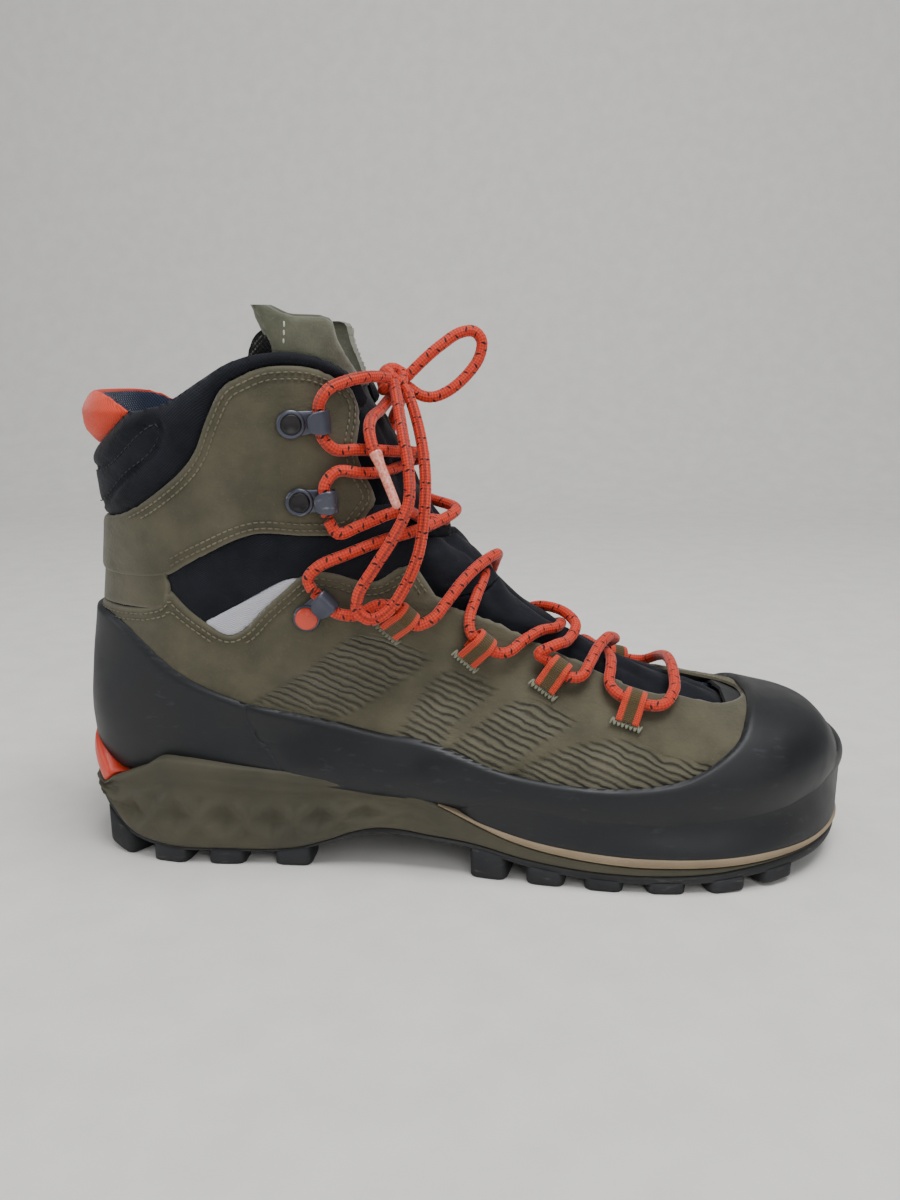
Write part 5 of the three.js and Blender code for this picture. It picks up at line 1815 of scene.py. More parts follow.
# ---------- the lower upper ----------
PANEL_A = smooth([(-83, 66), (-60, 80), (-40, 94), (-13, 83), (-28, 71), (-46, 60), (-62, 62),
                  (-83, 66)], 3)[:-1]
PANEL_B = smooth([(-27, 52), (-22, 60), (-7, 79), (13, 71), (-2, 59), (-10, 50), (-27, 52)], 3)[:-1]
PANEL_B2 = smooth([(-8, 49), (5, 59), (22, 68), (44, 61), (29, 52), (12, 42), (-8, 49)], 3)[:-1]
PANEL_C = smooth([(16, 42), (33, 51), (48, 55), (62, 56), (76, 51), (96, 47), (80, 37), (60, 35),
                  (36, 36), (16, 42)],
                 3)[:-1]
# Distance of a double seam's two rows from the panel's edge, mm.
SEAM_INSETS = (2.2, 4.5)


@dataclass(frozen=True)
class Embossing:
    """The pressed fields of the quarter; their ripples are in the leather's finish.

    Attributes:
        depth: Depth of the pressed field, mm.
        swell: Slow rise and fall across the ripples, mm.
    """

    depth: float = 1.1
    swell: float = 0.35

    def share(self, x: Array, z: Array) -> Array:
        """1 inside a pressed field, 0 outside, with a soft border about 3 mm wide.

        Args:
            x: Places along the foot, mm.
            z: Heights, mm.

        Returns:
            The share.
        """
        flat = np.column_stack([x, z])
        total = np.zeros(len(flat))
        for outline in (PANEL_A, PANEL_B, PANEL_B2, PANEL_C):
            gap, _, _ = nearest_on(flat, outline)
            total += ramp(np.where(inside(flat, outline), gap, -gap), -0.6, 2.6)
        return np.clip(total, 0, 1)

    def height(self, at: PanelPoints) -> Array:
        """The fields drop by the depth, with a slow swell across the ripples; ridges stay between them."""
        run = 0.40 * at.x + 0.92 * at.z
        return self.share(at.x, at.z) * (self.swell * np.sin(run / 1.9 + np.sin(at.x / 5)) - self.depth)

    def mark(self, piece: bpy.types.Object) -> None:
        """Writes the fields' share to the piece's "pressed" attribute.

        Args:
            piece: The piece.
        """
        place = np.empty(3 * len(piece.data.vertices), np.float32)
        piece.data.vertices.foreach_get("co", place)
        place = place.reshape(-1, 3) / MM
        layer = piece.data.attributes.new("pressed", "FLOAT", "POINT")
        layer.data.foreach_set("value", self.share(place[:, 0], place[:, 2]).astype(np.float32))


def drape(at: PanelPoints, size: float, depth: float, seed: float = 0.0) -> Array:
    """Soft unevenness of leather or cloth: three crossed long waves of a size and depth in mm.

    Args:
        at: The points.
        size: Length of the waves, mm.
        depth: Height of the waves, mm.
        seed: Shifts the waves.

    Returns:
        The relief in mm.
    """
    a = np.sin((at.x + 0.6 * at.z) / size + seed)
    b = np.sin((at.x * 0.4 - at.z + at.y * 0.5) / (size * 0.72) + 2.1 * seed + 1.3)
    c = np.sin((at.y + 0.3 * at.x) / (size * 1.3) + 0.7 * seed)
    return depth * (a * b + 0.5 * c)


@dataclass
class LowerUpper:
    """Quarter leather with its embossing and seams, the rubber rand, and the lining inside.

    Attributes:
        leather: Thickness of the leather, mm.
        rand: Inner and outer depth of the rand, mm.
        foot: Height of the rand's lowest band over the upper's base, mm.
        embossing: The ripple fields.
    """

    leather: float = 2.0
    rand: tuple[float, float] = (0.15, 2.6)
    foot: float = 9.0
    embossing: Embossing = field(default_factory=Embossing)

    def __post_init__(self) -> None:
        """Joins the pattern lines into outlines."""
        above = [(FRONT, 90), (114, 90)]
        self.quarter = joined(BASE_LINE, above, THROAT[::-1], FLEX_TOP[::-1])
        self.rand_front = joined(BASE_LINE[BASE_LINE[:, 0] > -70], above, RAND_FRONT_TOP[::-1],
                                 RAND_SEAM[:-3] - (4.0, 0))
        self.rand_heel = joined(BASE_LINE[BASE_LINE[:, 0] < -66], RAND_SEAM[:-3][::-1] + (0.8, 0),
                                RAND_HEEL_TOP[::-1])
        self.lining = joined(LINING_LOW, THROAT, above[::-1], [(FRONT, 0), (BACK, 0)])

    def leather_relief(self, at: PanelPoints) -> Array:
        """Embossing, a pressed stitch groove along the top edges, and the leather's own unevenness.

        Args:
            at: The points that the relief is asked for.

        Returns:
            The relief in mm.
        """
        seam = (at.z > 88) & (at.x < -13)
        groove = sum(-0.3 * np.exp(-((at.edge - inset) / 0.7) ** 2) for inset in SEAM_INSETS) * seam
        crease = -0.5 * np.exp(-(((at.x - 66) * 0.5 + (at.z - 52) * 0.86) / 2.2) ** 2) * ramp(at.z, 52, 60)
        return self.embossing.height(at) + groove + drape(at, 17, 0.22) + 0.25 + crease * ramp(at.x, 60, 80)

    def front_relief(self, at: PanelPoints) -> Array:
        """Unevenness of the front rand, which sinks by 0.8 mm where the heel rand laps over it.

        Args:
            at: The points that the relief is asked for.

        Returns:
            The relief in mm.
        """
        order = np.argsort(RAND_SEAM[:, 1])
        past = at.x - np.interp(at.z, RAND_SEAM[order, 1], RAND_SEAM[order, 0])
        return drape(at, 30, 0.15) + 0.2 * ramp(at.x, 100, 140) - 0.8 * (1 - ramp(past, -1.5, 4.0))

    def rand_foot(self) -> Shell:
        """The rand's lowest band, which runs from the upper's side down and out to the sole's edge.

        At each place round the plan the upper's own offset is found at the band's top; the band blends
        from there to the sole's edge with a smooth step.

        Returns:
            The closed belt.
        """
        sole = Sole()
        x = sole.plan[:, 0]
        base = level(BASE_LINE, x)
        points = CUTTER.points
        shelf = points[np.abs(points[:, 2] - level(BASE_LINE, points[:, 0]) - self.foot) < 1.2]
        gap = np.linalg.norm(sole.plan[:, None, :] - shelf[None, :, :2], axis=2)
        nearest = shelf[np.argmin(gap, 1)]
        offset = np.sum((nearest[:, :2] - sole.plan) * sole.outward, 1) + self.rand[1] - 0.5
        offset = np.convolve(np.concatenate([offset[-8:], offset, offset[:8]]), np.full(17, 1 / 17),
                             "valid")
        ahead = ramp(x, -20, 8)
        low = level(SOLE_TOP, x) - 0.6
        top = np.where(ahead > 0.02, np.maximum(base + self.foot, low + 1), low + 1)

        def flare(_: Array, share: Array) -> Array:
            """Blends from the sole's edge to the upper's offset; behind the arch the band is tucked in."""
            return (offset * ramp(share, 0.0, 0.95) + 0.1 * (1 - share)) - 7.0 * (1 - ahead)

        return sole.wall(low, top, flare, rows=16, inward=10.0, rim=0.5)

    def build(self) -> None:
        """Makes the leather, rand and lining."""
        quarter = CUTTER.cut(self.quarter, -self.leather, 0.0, rim=1.6, relief=self.leather_relief)
        leather = add_piece("quarter_leather", quarter, Look.LEATHER, Body.LOWER, "quarter_leather")
        self.embossing.mark(leather)
        sewn = Stitching()

        def top_only(p: Array) -> Array:
            """Points near the top line, behind the throat and in front of the heel."""
            return (p[:, 2] > 90) & (p[:, 0] < -14) & (p[:, 2] > 115 - (p[:, 0] + 200))

        top_edge = sewn.along(self.quarter, SEAM_INSETS, 0.42, top_only)
        add_piece("quarter_stitching", top_edge, Look.THREAD, Body.LOWER)
        front = CUTTER.cut(self.rand_front, *self.rand, rim=2.6, relief=self.front_relief, wall=0.2)
        front = Shell.merge([front, self.rand_foot()])
        add_piece("rand_front", front, Look.RAND, Body.LOWER, "rand_front")
        heel = CUTTER.cut(self.rand_heel, *self.rand, rim=2.4,
                          relief=lambda at: drape(at, 28, 0.15) - 0.25, wall=0.2)
        add_piece("rand_heel", heel, Look.RAND, Body.LOWER, "rand_heel")
        lining = CUTTER.cut(self.lining, -6.2, -3.9, rim=1.5)
        add_piece("lining_lower", lining, Look.LINING, Body.LOWER, "lining_lower")


def bend_at_ankle(piece: bpy.types.Object) -> None:
    """Bakes the placement of a piece between the lower and the cuff into its mesh."""
    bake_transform(piece)


@dataclass
class Ankle:
    """The flex zone: stretch gussets, reflective inserts, the heel strip and the lining behind them."""

    gusset_depth: tuple[float, float] = (-2.4, -0.9)
    insert_depth: tuple[float, float] = (-2.2, -0.7)

    def gusset_relief(self, at: PanelPoints) -> Array:
        """Soft vertical puckers that grow towards the front, and a slight fill.

        Args:
            at: The points that the relief is asked for.

        Returns:
            The relief in mm.
        """
        forward = ramp(at.x, -80, -25)
        pucker = 0.5 * np.sin(at.x / 3.1 + 1.2 * np.sin(at.z / 6)) * forward
        return pucker + 0.35 * np.sin(at.x / 9 + at.z / 7) + 0.6 * ramp(at.edge, 0, 8)

    def build(self) -> None:
        """Makes the flex zone."""
        low = joined([(-113, 111), (-106, 103.6)], MESH_TOP, FLEX_TOP[FLEX_TOP[:, 0] > -60], [(-18.5, 130)])
        high = joined(CUFF_BOTTOM[CUFF_BOTTOM[:, 0] > -115.2] - (0, 0.2), [(-33, 142.6), (-24, 143)])
        gusset = joined(low, high[::-1])
        insert = joined(MESH_BOTTOM, MESH_TOP[::-1] - (0, 0.15))
        heel = joined([(BACK, 102.6), (-116, 102.6), (-112.6, 110.5), (-113.6, 117), (BACK, 117)])
        for name, side in SIDES.items():
            cloth = CUTTER.cut(gusset, *self.gusset_depth, rim=0.8, relief=self.gusset_relief, side=side)
            bend_at_ankle(add_piece(f"ankle_gusset_{name}", cloth, Look.STRETCH, None,
                                    f"ankle_gusset_{name}"))
            shine = CUTTER.cut(insert, *self.insert_depth, rim=0.8, side=side)
            add_piece(f"mesh_insert_{name}", shine, Look.MESH, Body.LOWER, f"mesh_insert_{name}")
        strip = CUTTER.cut(heel, -2.0, -0.25, rim=0.3, relief=lambda at: drape(at, 17, 0.22), wall=0.95)
        bend_at_ankle(add_piece("achilles_flex", strip, Look.LEATHER, None, "achilles_flex"))
        lining = CUTTER.cut(joined(LINING_LOW, LINING_HIGH[::-1]), -6.2, -3.9, rim=0.4, wall=0.95)
        bend_at_ankle(add_piece("ankle_lining", lining, Look.LINING, None, "ankle_lining"))


# ---------- the cuff ----------
@dataclass
class Cuff:
    """Cuff leather with its double seam, the padded collar with its heel patch, the tab and the lining.

    Attributes:
        fill: Height of the collar's padding over the leather, mm.
        patch: Side-view outline of the sewn heel patch.
    """

    fill: float = 1.8
    patch: Array = field(default_factory=lambda: smooth(
        [(-160, 139), (-140, 141), (-125, 153), (-111, 163), (-107.5, 170), (-109, 175), (-116, 172),
         (-136, 157), (-160, 152), (-160, 139)], 5)[:-1])

    def __post_init__(self) -> None:
        """Joins the pattern lines into outlines."""
        self.leather = joined(CUFF_BOTTOM, CUFF_FRONT[::-1], CUFF_TOP[::-1] - (0, 0.2))
        self.collar = joined(CUFF_TOP, [(-36, 179)], COLLAR_TOP[::-1], TAB_EDGE[::-1] - (0, 0.2))
        self.tab = joined(TAB_EDGE, TAB_TOP[::-1])
        self.lining = joined(LINING_HIGH, CUFF_FRONT[::-1],
                             COLLAR_TOP[::-1] - (0, 1.2), TAB_TOP[::-1] - (0, 1.2), [(BACK, 182.8)])

    def leather_relief(self, at: PanelPoints) -> Array:
        """Two pressed stitch grooves round the panel and the leather's unevenness."""
        groove = sum(-0.3 * np.exp(-((at.edge
                                      - inset) / 0.7) ** 2) for inset in SEAM_INSETS) * (at.x > -138)
        return groove + drape(at, 21, 0.3, 0.8) + 0.3 + 0.35 * ramp(at.edge, 0, 3)

    def collar_relief(self, at: PanelPoints) -> Array:
        """Padding: a dome over the band, a flatter sewn patch at the heel, and a rounded top roll.

        Args:
            at: The points that the relief is asked for.

        Returns:
            The relief in mm.
        """
        gap, _, _ = nearest_on(np.column_stack([at.x, at.z]), self.patch)
        within = inside(np.column_stack([at.x, at.z]), self.patch)
        seam = np.exp(-(gap / 1.3) ** 2)
        dome = self.fill * np.sqrt(np.clip(at.edge / 9, 0, 1))
        return dome - 1.3 * seam - 0.5 * within + drape(at, 9, 0.25, 2.0)

    def lining_relief(self, at: PanelPoints) -> Array:
        """The collar's inner padding, bulging inwards below the rim."""
        return -1.8 * ramp(at.z, 150, 168) * np.sqrt(np.clip(at.edge / 10, 0, 1))

    def build(self) -> None:
        """Makes the cuff."""
        leather = CUTTER.cut(self.leather, -2.0, 0.0, rim=1.6, relief=self.leather_relief)
        add_piece("cuff_leather", leather, Look.LEATHER, Body.CUFF, "cuff_leather")
        seam = Stitching().along(self.leather, SEAM_INSETS, 0.62,
                                 lambda p: (p[:, 0] > -139) & ((p[:, 2] > 137) | (p[:, 0] > -112)))
        add_piece("cuff_stitching", seam, Look.THREAD, Body.CUFF)
        collar = CUTTER.cut(self.collar, -3.5, 0.0, rim=4.5, relief=self.collar_relief, wall=0.25)
        pad = add_piece("collar_pad", collar, Look.STRETCH, Body.CUFF, "collar_pad")
        rows = Stitching(2.0, 0.55, 2.6)
        patch = rows.along(self.patch, (1.6,), self.fill - 0.75, lambda p: p[:, 0] > -143.5)
        add_piece("collar_stitching", patch, Look.DARK_THREAD, Body.CUFF)
        tab = CUTTER.cut(self.tab, -3.5, 0.2, rim=6,
                         relief=lambda at: 2.6 * np.sqrt(np.clip(at.edge / 8, 0, 1)),
                         wall=0.25)
        add_piece("collar_tab", tab, Look.ACCENT, Body.CUFF, "collar_tab")
        lining = CUTTER.cut(self.lining, -6.2, -3.8, rim=3.0, lining=self.lining_relief)
        add_piece("cuff_lining", lining, Look.LINING, Body.CUFF, "cuff_lining")


# ---------- the tongue ----------
@dataclass
class Tongue:
    """The padded gusseted tongue in three parts, and the flap at its top.

    Attributes:
        rise: How far the padding stands up in the open throat, mm.
        depth: Inner and outer depth of its cloth, mm.
    """

    rise: float = 3.7
    depth: tuple[float, float] = (-9.0, -6.5)

    def __post_init__(self) -> None:
        """Outline of the opening that the padding rises through."""
        self.opening = joined(THROAT, [(114, 120), (40, 140), (-20, 215), (-30, 215)],
                              COLLAR_TOP[-1:] + (1.5, 0),
                              CUFF_FRONT + (1.5, 0), [(-33, 141), (-19, 121)])

    def relief(self, at: PanelPoints) -> Array:
        """Padding that rises through the opening, with long folds that run along the foot.

        The folds are sharp-backed waves across the foot that fork as they run towards the toe.

        Args:
            at: The points that the relief is asked for.

        Returns:
            The relief in mm.
        """
        flat = np.column_stack([at.x, at.z])
        gap, _, _ = nearest_on(flat, self.opening)
        share = ramp(np.where(inside(flat, self.opening), gap, -gap), -0.5, 7)
        y = at.y - SURFACE.centre_shift
        run = at.x * 0.72 - at.z * 0.7
        fold = np.abs(np.sin(y / 4.1 + 0.7 * np.sin(run / 11) + 0.25 * np.sin(run / 4))) ** 0.7
        cross = np.sin(run / 7.5 + 0.9 * np.sin(y / 6)) * ramp(at.z, 92, 112) * (1 - ramp(at.z, 140, 158))
        return share * (self.rise - 1.5 + 1.6 * fold + 1.1 * cross + 0.3 * np.sin(run / 3.3 + y / 2))

    def build(self) -> None:
        """Makes the tongue and its flap."""
        under = smooth([(-46, 100), (-20, 100), (-7, 92), (13, 86), (42, 72), (70, 60), (100, 54),
                        (126, 54)])
        lower = joined(under, [(126, 90), (60, 110), (20, 118), (10, 108), (-20, 104), (-46, 104)])
        flex = joined([(-46, 104.1), (-20, 104.1), (10, 108.1), (22, 119), (22, 131), (-46, 131)])
        upper = joined([(-46, 131.1), (30, 131.1), (10, 188), (-62, 188), (-60, 165)])
        inner, outer = self.depth
        for name, outline in (("tongue_lower", lower), ("tongue_flex", flex), ("tongue_upper", upper)):
            cloth = CUTTER.cut(outline, inner, outer, rim=0.25, relief=self.relief, wall=0.98)
            body = Body.LOWER if name == "tongue_lower" else None
            piece = add_piece(name, cloth, Look.STRETCH, body, name)
            if name == "tongue_flex":
                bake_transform(piece)
            if name == "tongue_upper":
                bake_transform(piece)
        self.make_flap()

    def make_flap(self) -> None:
        """The suede flap over the top of the tongue, leaning out, with a short seam; fleece behind it."""
        outline = smooth([(-64, 188), (-66.5, 198), (-73, 216.5), (-61, 211.5), (-46, 210), (-43, 203),
                          (-36, 193), (-33, 187), (-64, 188)], 6)[:-1]
        behind = smooth([(-77, 189), (-76, 195), (-71.5, 204), (-65, 206), (-58, 196), (-57, 189),
                         (-77, 189)], 6)[:-1]

        def lean(at: PanelPoints) -> Array:
            """The flap curls outwards with height, more at its sides."""
            return 1.2 + 3.0 * ramp(at.z, 190, 212) + drape(at, 10, 0.5, 1.0)

        def follow(at: PanelPoints) -> Array:
            """The inner sheet leans with the outer one."""
            return lean(at) - 0.4

        shell = CUTTER.cut(outline, -8.4, -6.6, rim=0.9, relief=lean, lining=follow)
        add_piece("tongue_flap", shell, Look.FLAP, Body.TONGUE, "tongue_flap")
        fleece = CUTTER.cut(behind, -10.2, -8.6, rim=1.2, relief=lean, lining=follow)
        add_piece("tongue_fleece", fleece, Look.FUZZ, Body.TONGUE)
        seam = [Seat.at(-62.6 + 0.05 * (z - 201), z, LATERAL, math.pi / 2, -6.4 + 1.25 + 3.0 * float(
            ramp(np.float64(z), 190, 212))).place(bead(2.1, 0.7, 0.6)) for z in (202.0, 204.8, 207.6)]
        add_piece("flap_stitching", Shell.merge(seam), Look.PALE_THREAD, Body.TONGUE)


# ---------- footbed and what is inside ----------
@dataclass
class Inside:
    """The removable footbed, and the stiffeners that stay hidden under the leather.

    Attributes:
        thickness: Thickness of the footbed, mm.
        cup: Rise of its sides at the heel, mm.
        floor: Height of its underside over the upper's base, mm.
    """

    thickness: float = 3.2
    cup: float = 3.2
    floor: float = 5.2

    def build(self) -> None:
        """Makes the footbed from a grid across the foot and dresses the stiffeners."""
        x = np.linspace(-141, 139, 120)
        centre = np.interp(x, STATIONS[8:, 0], STATIONS[8:, 5]) + SURFACE.centre_shift
        half = np.interp(x, [-141, -136, -128, -115, -90, -60, -20, 20, 60, 90, 115, 130, 137, 139],
                         [3, 13, 20, 25, 26.5, 26, 27, 31, 36, 36, 29, 18, 9, 3])
        floor = level(BASE_LINE, x) + self.floor
        across = np.linspace(-1, 1, 31)
        cup = self.cup * np.abs(across[None, :]) ** 3 * (1 - ramp(x, 40, 90))[:, None]
        shell = slab(*(np.stack(np.broadcast_arrays(x[:, None], centre[:, None] + across * half[:, None],
                                                    floor[:, None] + lift + cup), -1)
                       for lift in (0.0, self.thickness)))
        shell.uv = shell.points[:, :2]
        add_piece("footbed", shell, Look.FOOTBED, Body.FOOTBED, "footbed")
        for node, look in (("lasting_board", Look.BOARD), ("bottom_filler", Look.MIDSOLE),
                           ("shank", Look.STEEL),
                           ("heel_counter", Look.PUFF), ("toe_puff", Look.PUFF)):
            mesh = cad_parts[node].data
            mesh.materials.clear()
            mesh.materials.append(dressed(look))


# ---------- hardware ----------
@dataclass(frozen=True)
class HookPlace:
    """Where a hook sits, and the finish of its rivet."""

    x: float
    z: float
    angle: float
    rivet: Look
    body: Body


HOOK_PLACES = (HookPlace(-62, 173, 0.08, Look.RIVET, Body.CUFF),
               HookPlace(-60, 145, 0.05, Look.RIVET, Body.CUFF),
               HookPlace(-59, 101, 0.75, Look.ENAMEL, Body.LOWER))


@dataclass
class Hooks:
    """Pressed lace hooks: a ringed plate, a bend, and a return tongue over the lace, with a rivet.

    Attributes:
        length: Reach of the bend from the rivet, mm.
        plate_radius: Radius of the ring round the rivet, mm.
        plate: Thickness of the metal, mm.
        bend_radius: Inner radius of the bend, mm.
        lift: Height of the plate over the leather, mm.
        flare: Rise of the free end, mm.
        sides: Points round the strap's section.
    """

    length: float = 14.0
    plate_radius: float = 5.2
    plate: float = 1.2
    bend_radius: float = 3.0
    lift: float = 0.75
    flare: float = 0.6
    sides: int = 20

    def strap(self) -> Shell:
        """The bent strap: a rounded strip of a given width at each place along its side profile.

        The profile runs along the leather, round a half circle, and back to the free end; the section
        is a superellipse of the strip's width and thickness.

        Returns:
            The strap.
        """
        middle = self.lift + self.plate / 2
        bend_x = self.length - self.bend_radius - self.plate
        arc = np.linspace(-math.pi / 2, math.pi / 2, 17)
        radius = self.bend_radius + self.plate / 2
        flat = np.column_stack([np.linspace(0.0, bend_x - 0.2, 12), np.full(12, middle)])
        bend = np.column_stack([bend_x + radius * np.cos(arc), middle + radius + radius * np.sin(arc)])
        back = np.column_stack([np.linspace(bend_x - 0.3, 5.2, 18), np.linspace(0, 1, 18)])
        back[:, 1] = middle + 2 * radius + self.flare * back[:, 1] ** 1.5
        path = np.vstack([flat, bend, back])
        run = run_along(path)
        ends = run[-1]
        width = np.interp(run, [0, 5, 9, 14, ends - 5, ends - 2, ends - 0.7, ends],
                          [9.2, 8.6, 8.0, 8.2, 8.6, 7.6, 5.6, 3.2])
        turn = np.arange(self.sides) * 2 * math.pi / self.sides
        across, thick = squared(np.cos(turn), 0.35), squared(np.sin(turn), 0.7)
        dish = 0.35 * (1 - across**2)
        raised = (thick * self.plate / 2)[None, :] + dish[None, :] * ramp(run, 16, 22)[:, None]
        return strip(path, across[None, :] * width[:, None] / 2, raised)

    def ring(self) -> Shell:
        """The raised ring of the plate round the rivet.

        Returns:
            The ring.
        """
        low, high = self.lift, self.lift + self.plate
        outer, inner = self.plate_radius, 3.1
        profile = [(inner, low), (outer - 0.3, low), (outer, low + 0.35), (outer, high + 0.1),
                   (outer - 0.5, high + 0.6),
                   (inner + 0.9, high + 0.65), (inner + 0.2, high + 0.2), (inner, high - 0.4), (inner, low)]
        return lathe(profile, 40, 3)

    def rivet(self) -> Shell:
        """The rivet: a shallow dished head with a rolled edge, and its shank.

        Returns:
            The rivet.
        """
        top = self.lift + self.plate
        profile = [(0, self.lift), (3.0, self.lift), (3.05, top + 0.2), (3.6, top + 0.55),
                   (3.55, top + 1.05),
                   (3.0, top + 1.25), (2.2, top + 1.05), (1.0, top + 0.85), (0, top + 0.8)]
        return lathe(profile, 36, 3)

    def dome(self) -> Shell:
        """The enamelled rivet of the locking hook: a flat button with a rounded edge.

        Returns:
            The rivet.
        """
        top = self.lift + self.plate
        profile = [(0, self.lift), (2.1, self.lift), (2.1, top + 0.3), (4.1, top + 0.35), (4.3, top + 0.9),
                   (3.8, top + 1.5), (2.4, top + 1.75), (0, top + 1.8)]
        return lathe(profile, 36, 3)

    def build(self) -> None:
        """Makes six hooks and rivets."""
        for name, side in SIDES.items():
            for number, place in enumerate(HOOK_PLACES, 1):
                seat = Seat.at(place.x, place.z, side, place.angle, 0.15)
                hook = Shell.merge([seat.place(self.strap()), seat.place(self.ring())])
                add_piece(f"hook_{name}_{number}", hook, Look.HOOK, place.body, f"hook_{name}_{number}")
                head = self.dome() if place.rivet is Look.ENAMEL else self.rivet()
                add_piece(f"rivet_{name}_{number}", seat.place(head), place.rivet, place.body,
                          f"rivet_{name}_{number}")


@dataclass
class Eyelets:
    """Webbing loops that carry the lace, each sewn down by a bar tack.

    Attributes:
        width: Width of the webbing, mm.
        length: Length of the sewn end behind the loop, mm.
        thickness: Thickness of the webbing, mm.
        eye_radius: Inner radius of the loop, mm.
        lift: Height over the leather, mm.
        sides: Points round the strip's section.
        places: Side-view place (x, z) of each loop and the angle it points at, radians.
    """

    width: float = 9.0
    length: float = 9.0
    thickness: float = 1.3
    eye_radius: float = 3.1
    lift: float = 0.55
    sides: int = 24
    places: tuple[tuple[float, float, float], ...] = ((-23, 101, 0.8), (6, 88.5, 0.85), (36, 76, 1.0),
                                                      (65, 65.5, 1.3))

    def loop(self) -> Shell:
        """The strip: flat from the sewn end, once round the lace, and back down on itself.

        The strip's middle line is carried round an arc of three quarters of a turn; its section is a
        flat superellipse that narrows slightly over the lace.

        Returns:
            The loop.
        """
        radius = self.eye_radius + self.thickness / 2
        low = self.lift + self.thickness / 2
        arc = np.linspace(-math.pi / 2, math.pi * 0.78, 26)
        flat = np.column_stack([np.linspace(-self.length * 0.55, -0.2, 10), np.full(10, low)])
        bend = np.column_stack([radius * np.cos(arc), low + radius + radius * np.sin(arc)])
        tail = np.column_stack([np.linspace(bend[-1, 0] - 0.4, -self.length, 12),
                                np.linspace(bend[-1, 1] - 0.5, low + 0.9, 12)])
        path = np.vstack([flat, bend, tail])
        run = run_along(path)
        turn = np.arange(self.sides) * 2 * math.pi / self.sides
        across, thick = squared(np.cos(turn), 0.3), squared(np.sin(turn), 0.8) * self.thickness / 2
        narrow = 1 - 0.12 * np.exp(-((run - run[-1] * 0.45) / 6) ** 2)
        return strip(path, across[None, :] * (self.width / 2 * narrow)[:, None], thick)

    def tack(self) -> Shell:
        """The bar tack: a row of threads side by side across the strip's end.

        Returns:
            The threads of one tack.
        """
        count = 15
        template = bead(3.6, 1.0, 1.0, 6, 4)
        spots = np.column_stack([np.full(count, -self.length - 0.4), np.linspace(-5.6, 5.6, count),
                                 np.full(count, self.lift + 0.9)])
        lean = np.tile([1.0, 0.0, 0.0],
                       (count, 1)) + np.array([0, 0.22, 0]) * ((np.arange(count) % 2) * 2 - 1)[:, None]
        return repeat_along(template, spots, lean, np.tile([0.0, 0.0, 1.0], (count, 1)))

    def build(self) -> None:
        """Makes eight loops and their tacks."""
        for name, side in SIDES.items():
            tacks = []
            for number, (x, z, angle) in enumerate(self.places, 1):
                seat = Seat.at(x, z, side, angle, 0.1)
                node = f"webbing_eyelet_{name}_{number}"
                add_piece(node, seat.place(self.loop()), Look.WEBBING, Body.LOWER, node)
                tacks.append(seat.place(self.tack()))
            add_piece(f"bar_tacks_{name}", Shell.merge(tacks), Look.TACK, Body.LOWER)


# ---------- lace ----------
Route = list[tuple[float, float, float]]
LACE_LOWER: Route = [
    (-55, -38, 111.5), (-51.5, -37, 107.5), (-47.5, -36.5, 103.5), (-40, -36, 102.5), (-32, -34.5, 106),
    (-26, -32.5, 105), (-22, -32, 101), (-18, -31, 97.5), (-11.5, -29.5, 100), (-7, -26, 105),
    (0, -18.5, 113), (7, -9, 118), (12.5, 1, 119.5), (12, 10, 115.5), (7, 24, 101.5), (1, 29.5, 96.5),
    (3, 28, 93.5), (7, 28, 90), (11.5, 28, 86.5), (17.5, 26.5, 86.5), (23.5, 20, 91.5), (31, 12, 95.5),
    (40, 4, 95), (44.5, -4, 91.5), (41, -12.5, 87.5), (35.5, -20.5, 87.5), (29, -22.5, 84.5),
    (32, -22, 82), (36.5, -24, 79), (40.5, -26, 76.5), (45.5, -25, 76.5), (49.5, -18.5, 80.5),
    (53.5, -9, 84), (58, 0, 85.5), (62, 9, 82.5), (60, 19, 78), (56, 25.5, 74.5), (60, 28, 70.5),
    (65.5, 29, 69), (70.5, 30.5, 67.5), (77, 29, 67.5), (82, 23.5, 71), (83.5, 12, 74.5), (83.5, -1, 76),
    (83, -13, 74.5), (81.5, -24, 71), (76.5, -31, 67.5), (70.5, -32, 67.5), (65.5, -31, 69),
    (60, -29.5, 70.5), (56.5, -26, 73.5), (57.5, -18, 77.5), (58.5, -8, 79), (57, 1, 79.5),
    (53.5, 9, 79.5), (49.5, 20, 79), (46, 25, 74.5), (41.5, 26, 75.5), (37, 25.5, 78), (32, 24.5, 81),
    (31.5, 20, 87), (35, 11.5, 88), (39, 3, 90.5), (36.5, -5, 90.5), (30, -12, 91), (23, -20, 89),
    (17, -24.5, 85.5), (11.5, -25.5, 86), (7.5, -25.5, 89.5), (3, -26, 93), (2, -24, 98),
    (4.5, -16.5, 105.5), (7.5, -7, 112), (8.5, 1, 114), (3.5, 9.5, 116), (-2, 17, 113.5),
    (-8.5, 28.5, 106), (-13, 32.5, 99.5), (-18, 33.5, 97), (-22, 34.5, 101), (-26, 35.5, 104.5),
    (-32, 37, 105.5), (-40, 38.5, 102), (-47.5, 39, 103.5), (-51.5, 40, 107.5), (-55, 40.5, 111.5),
]
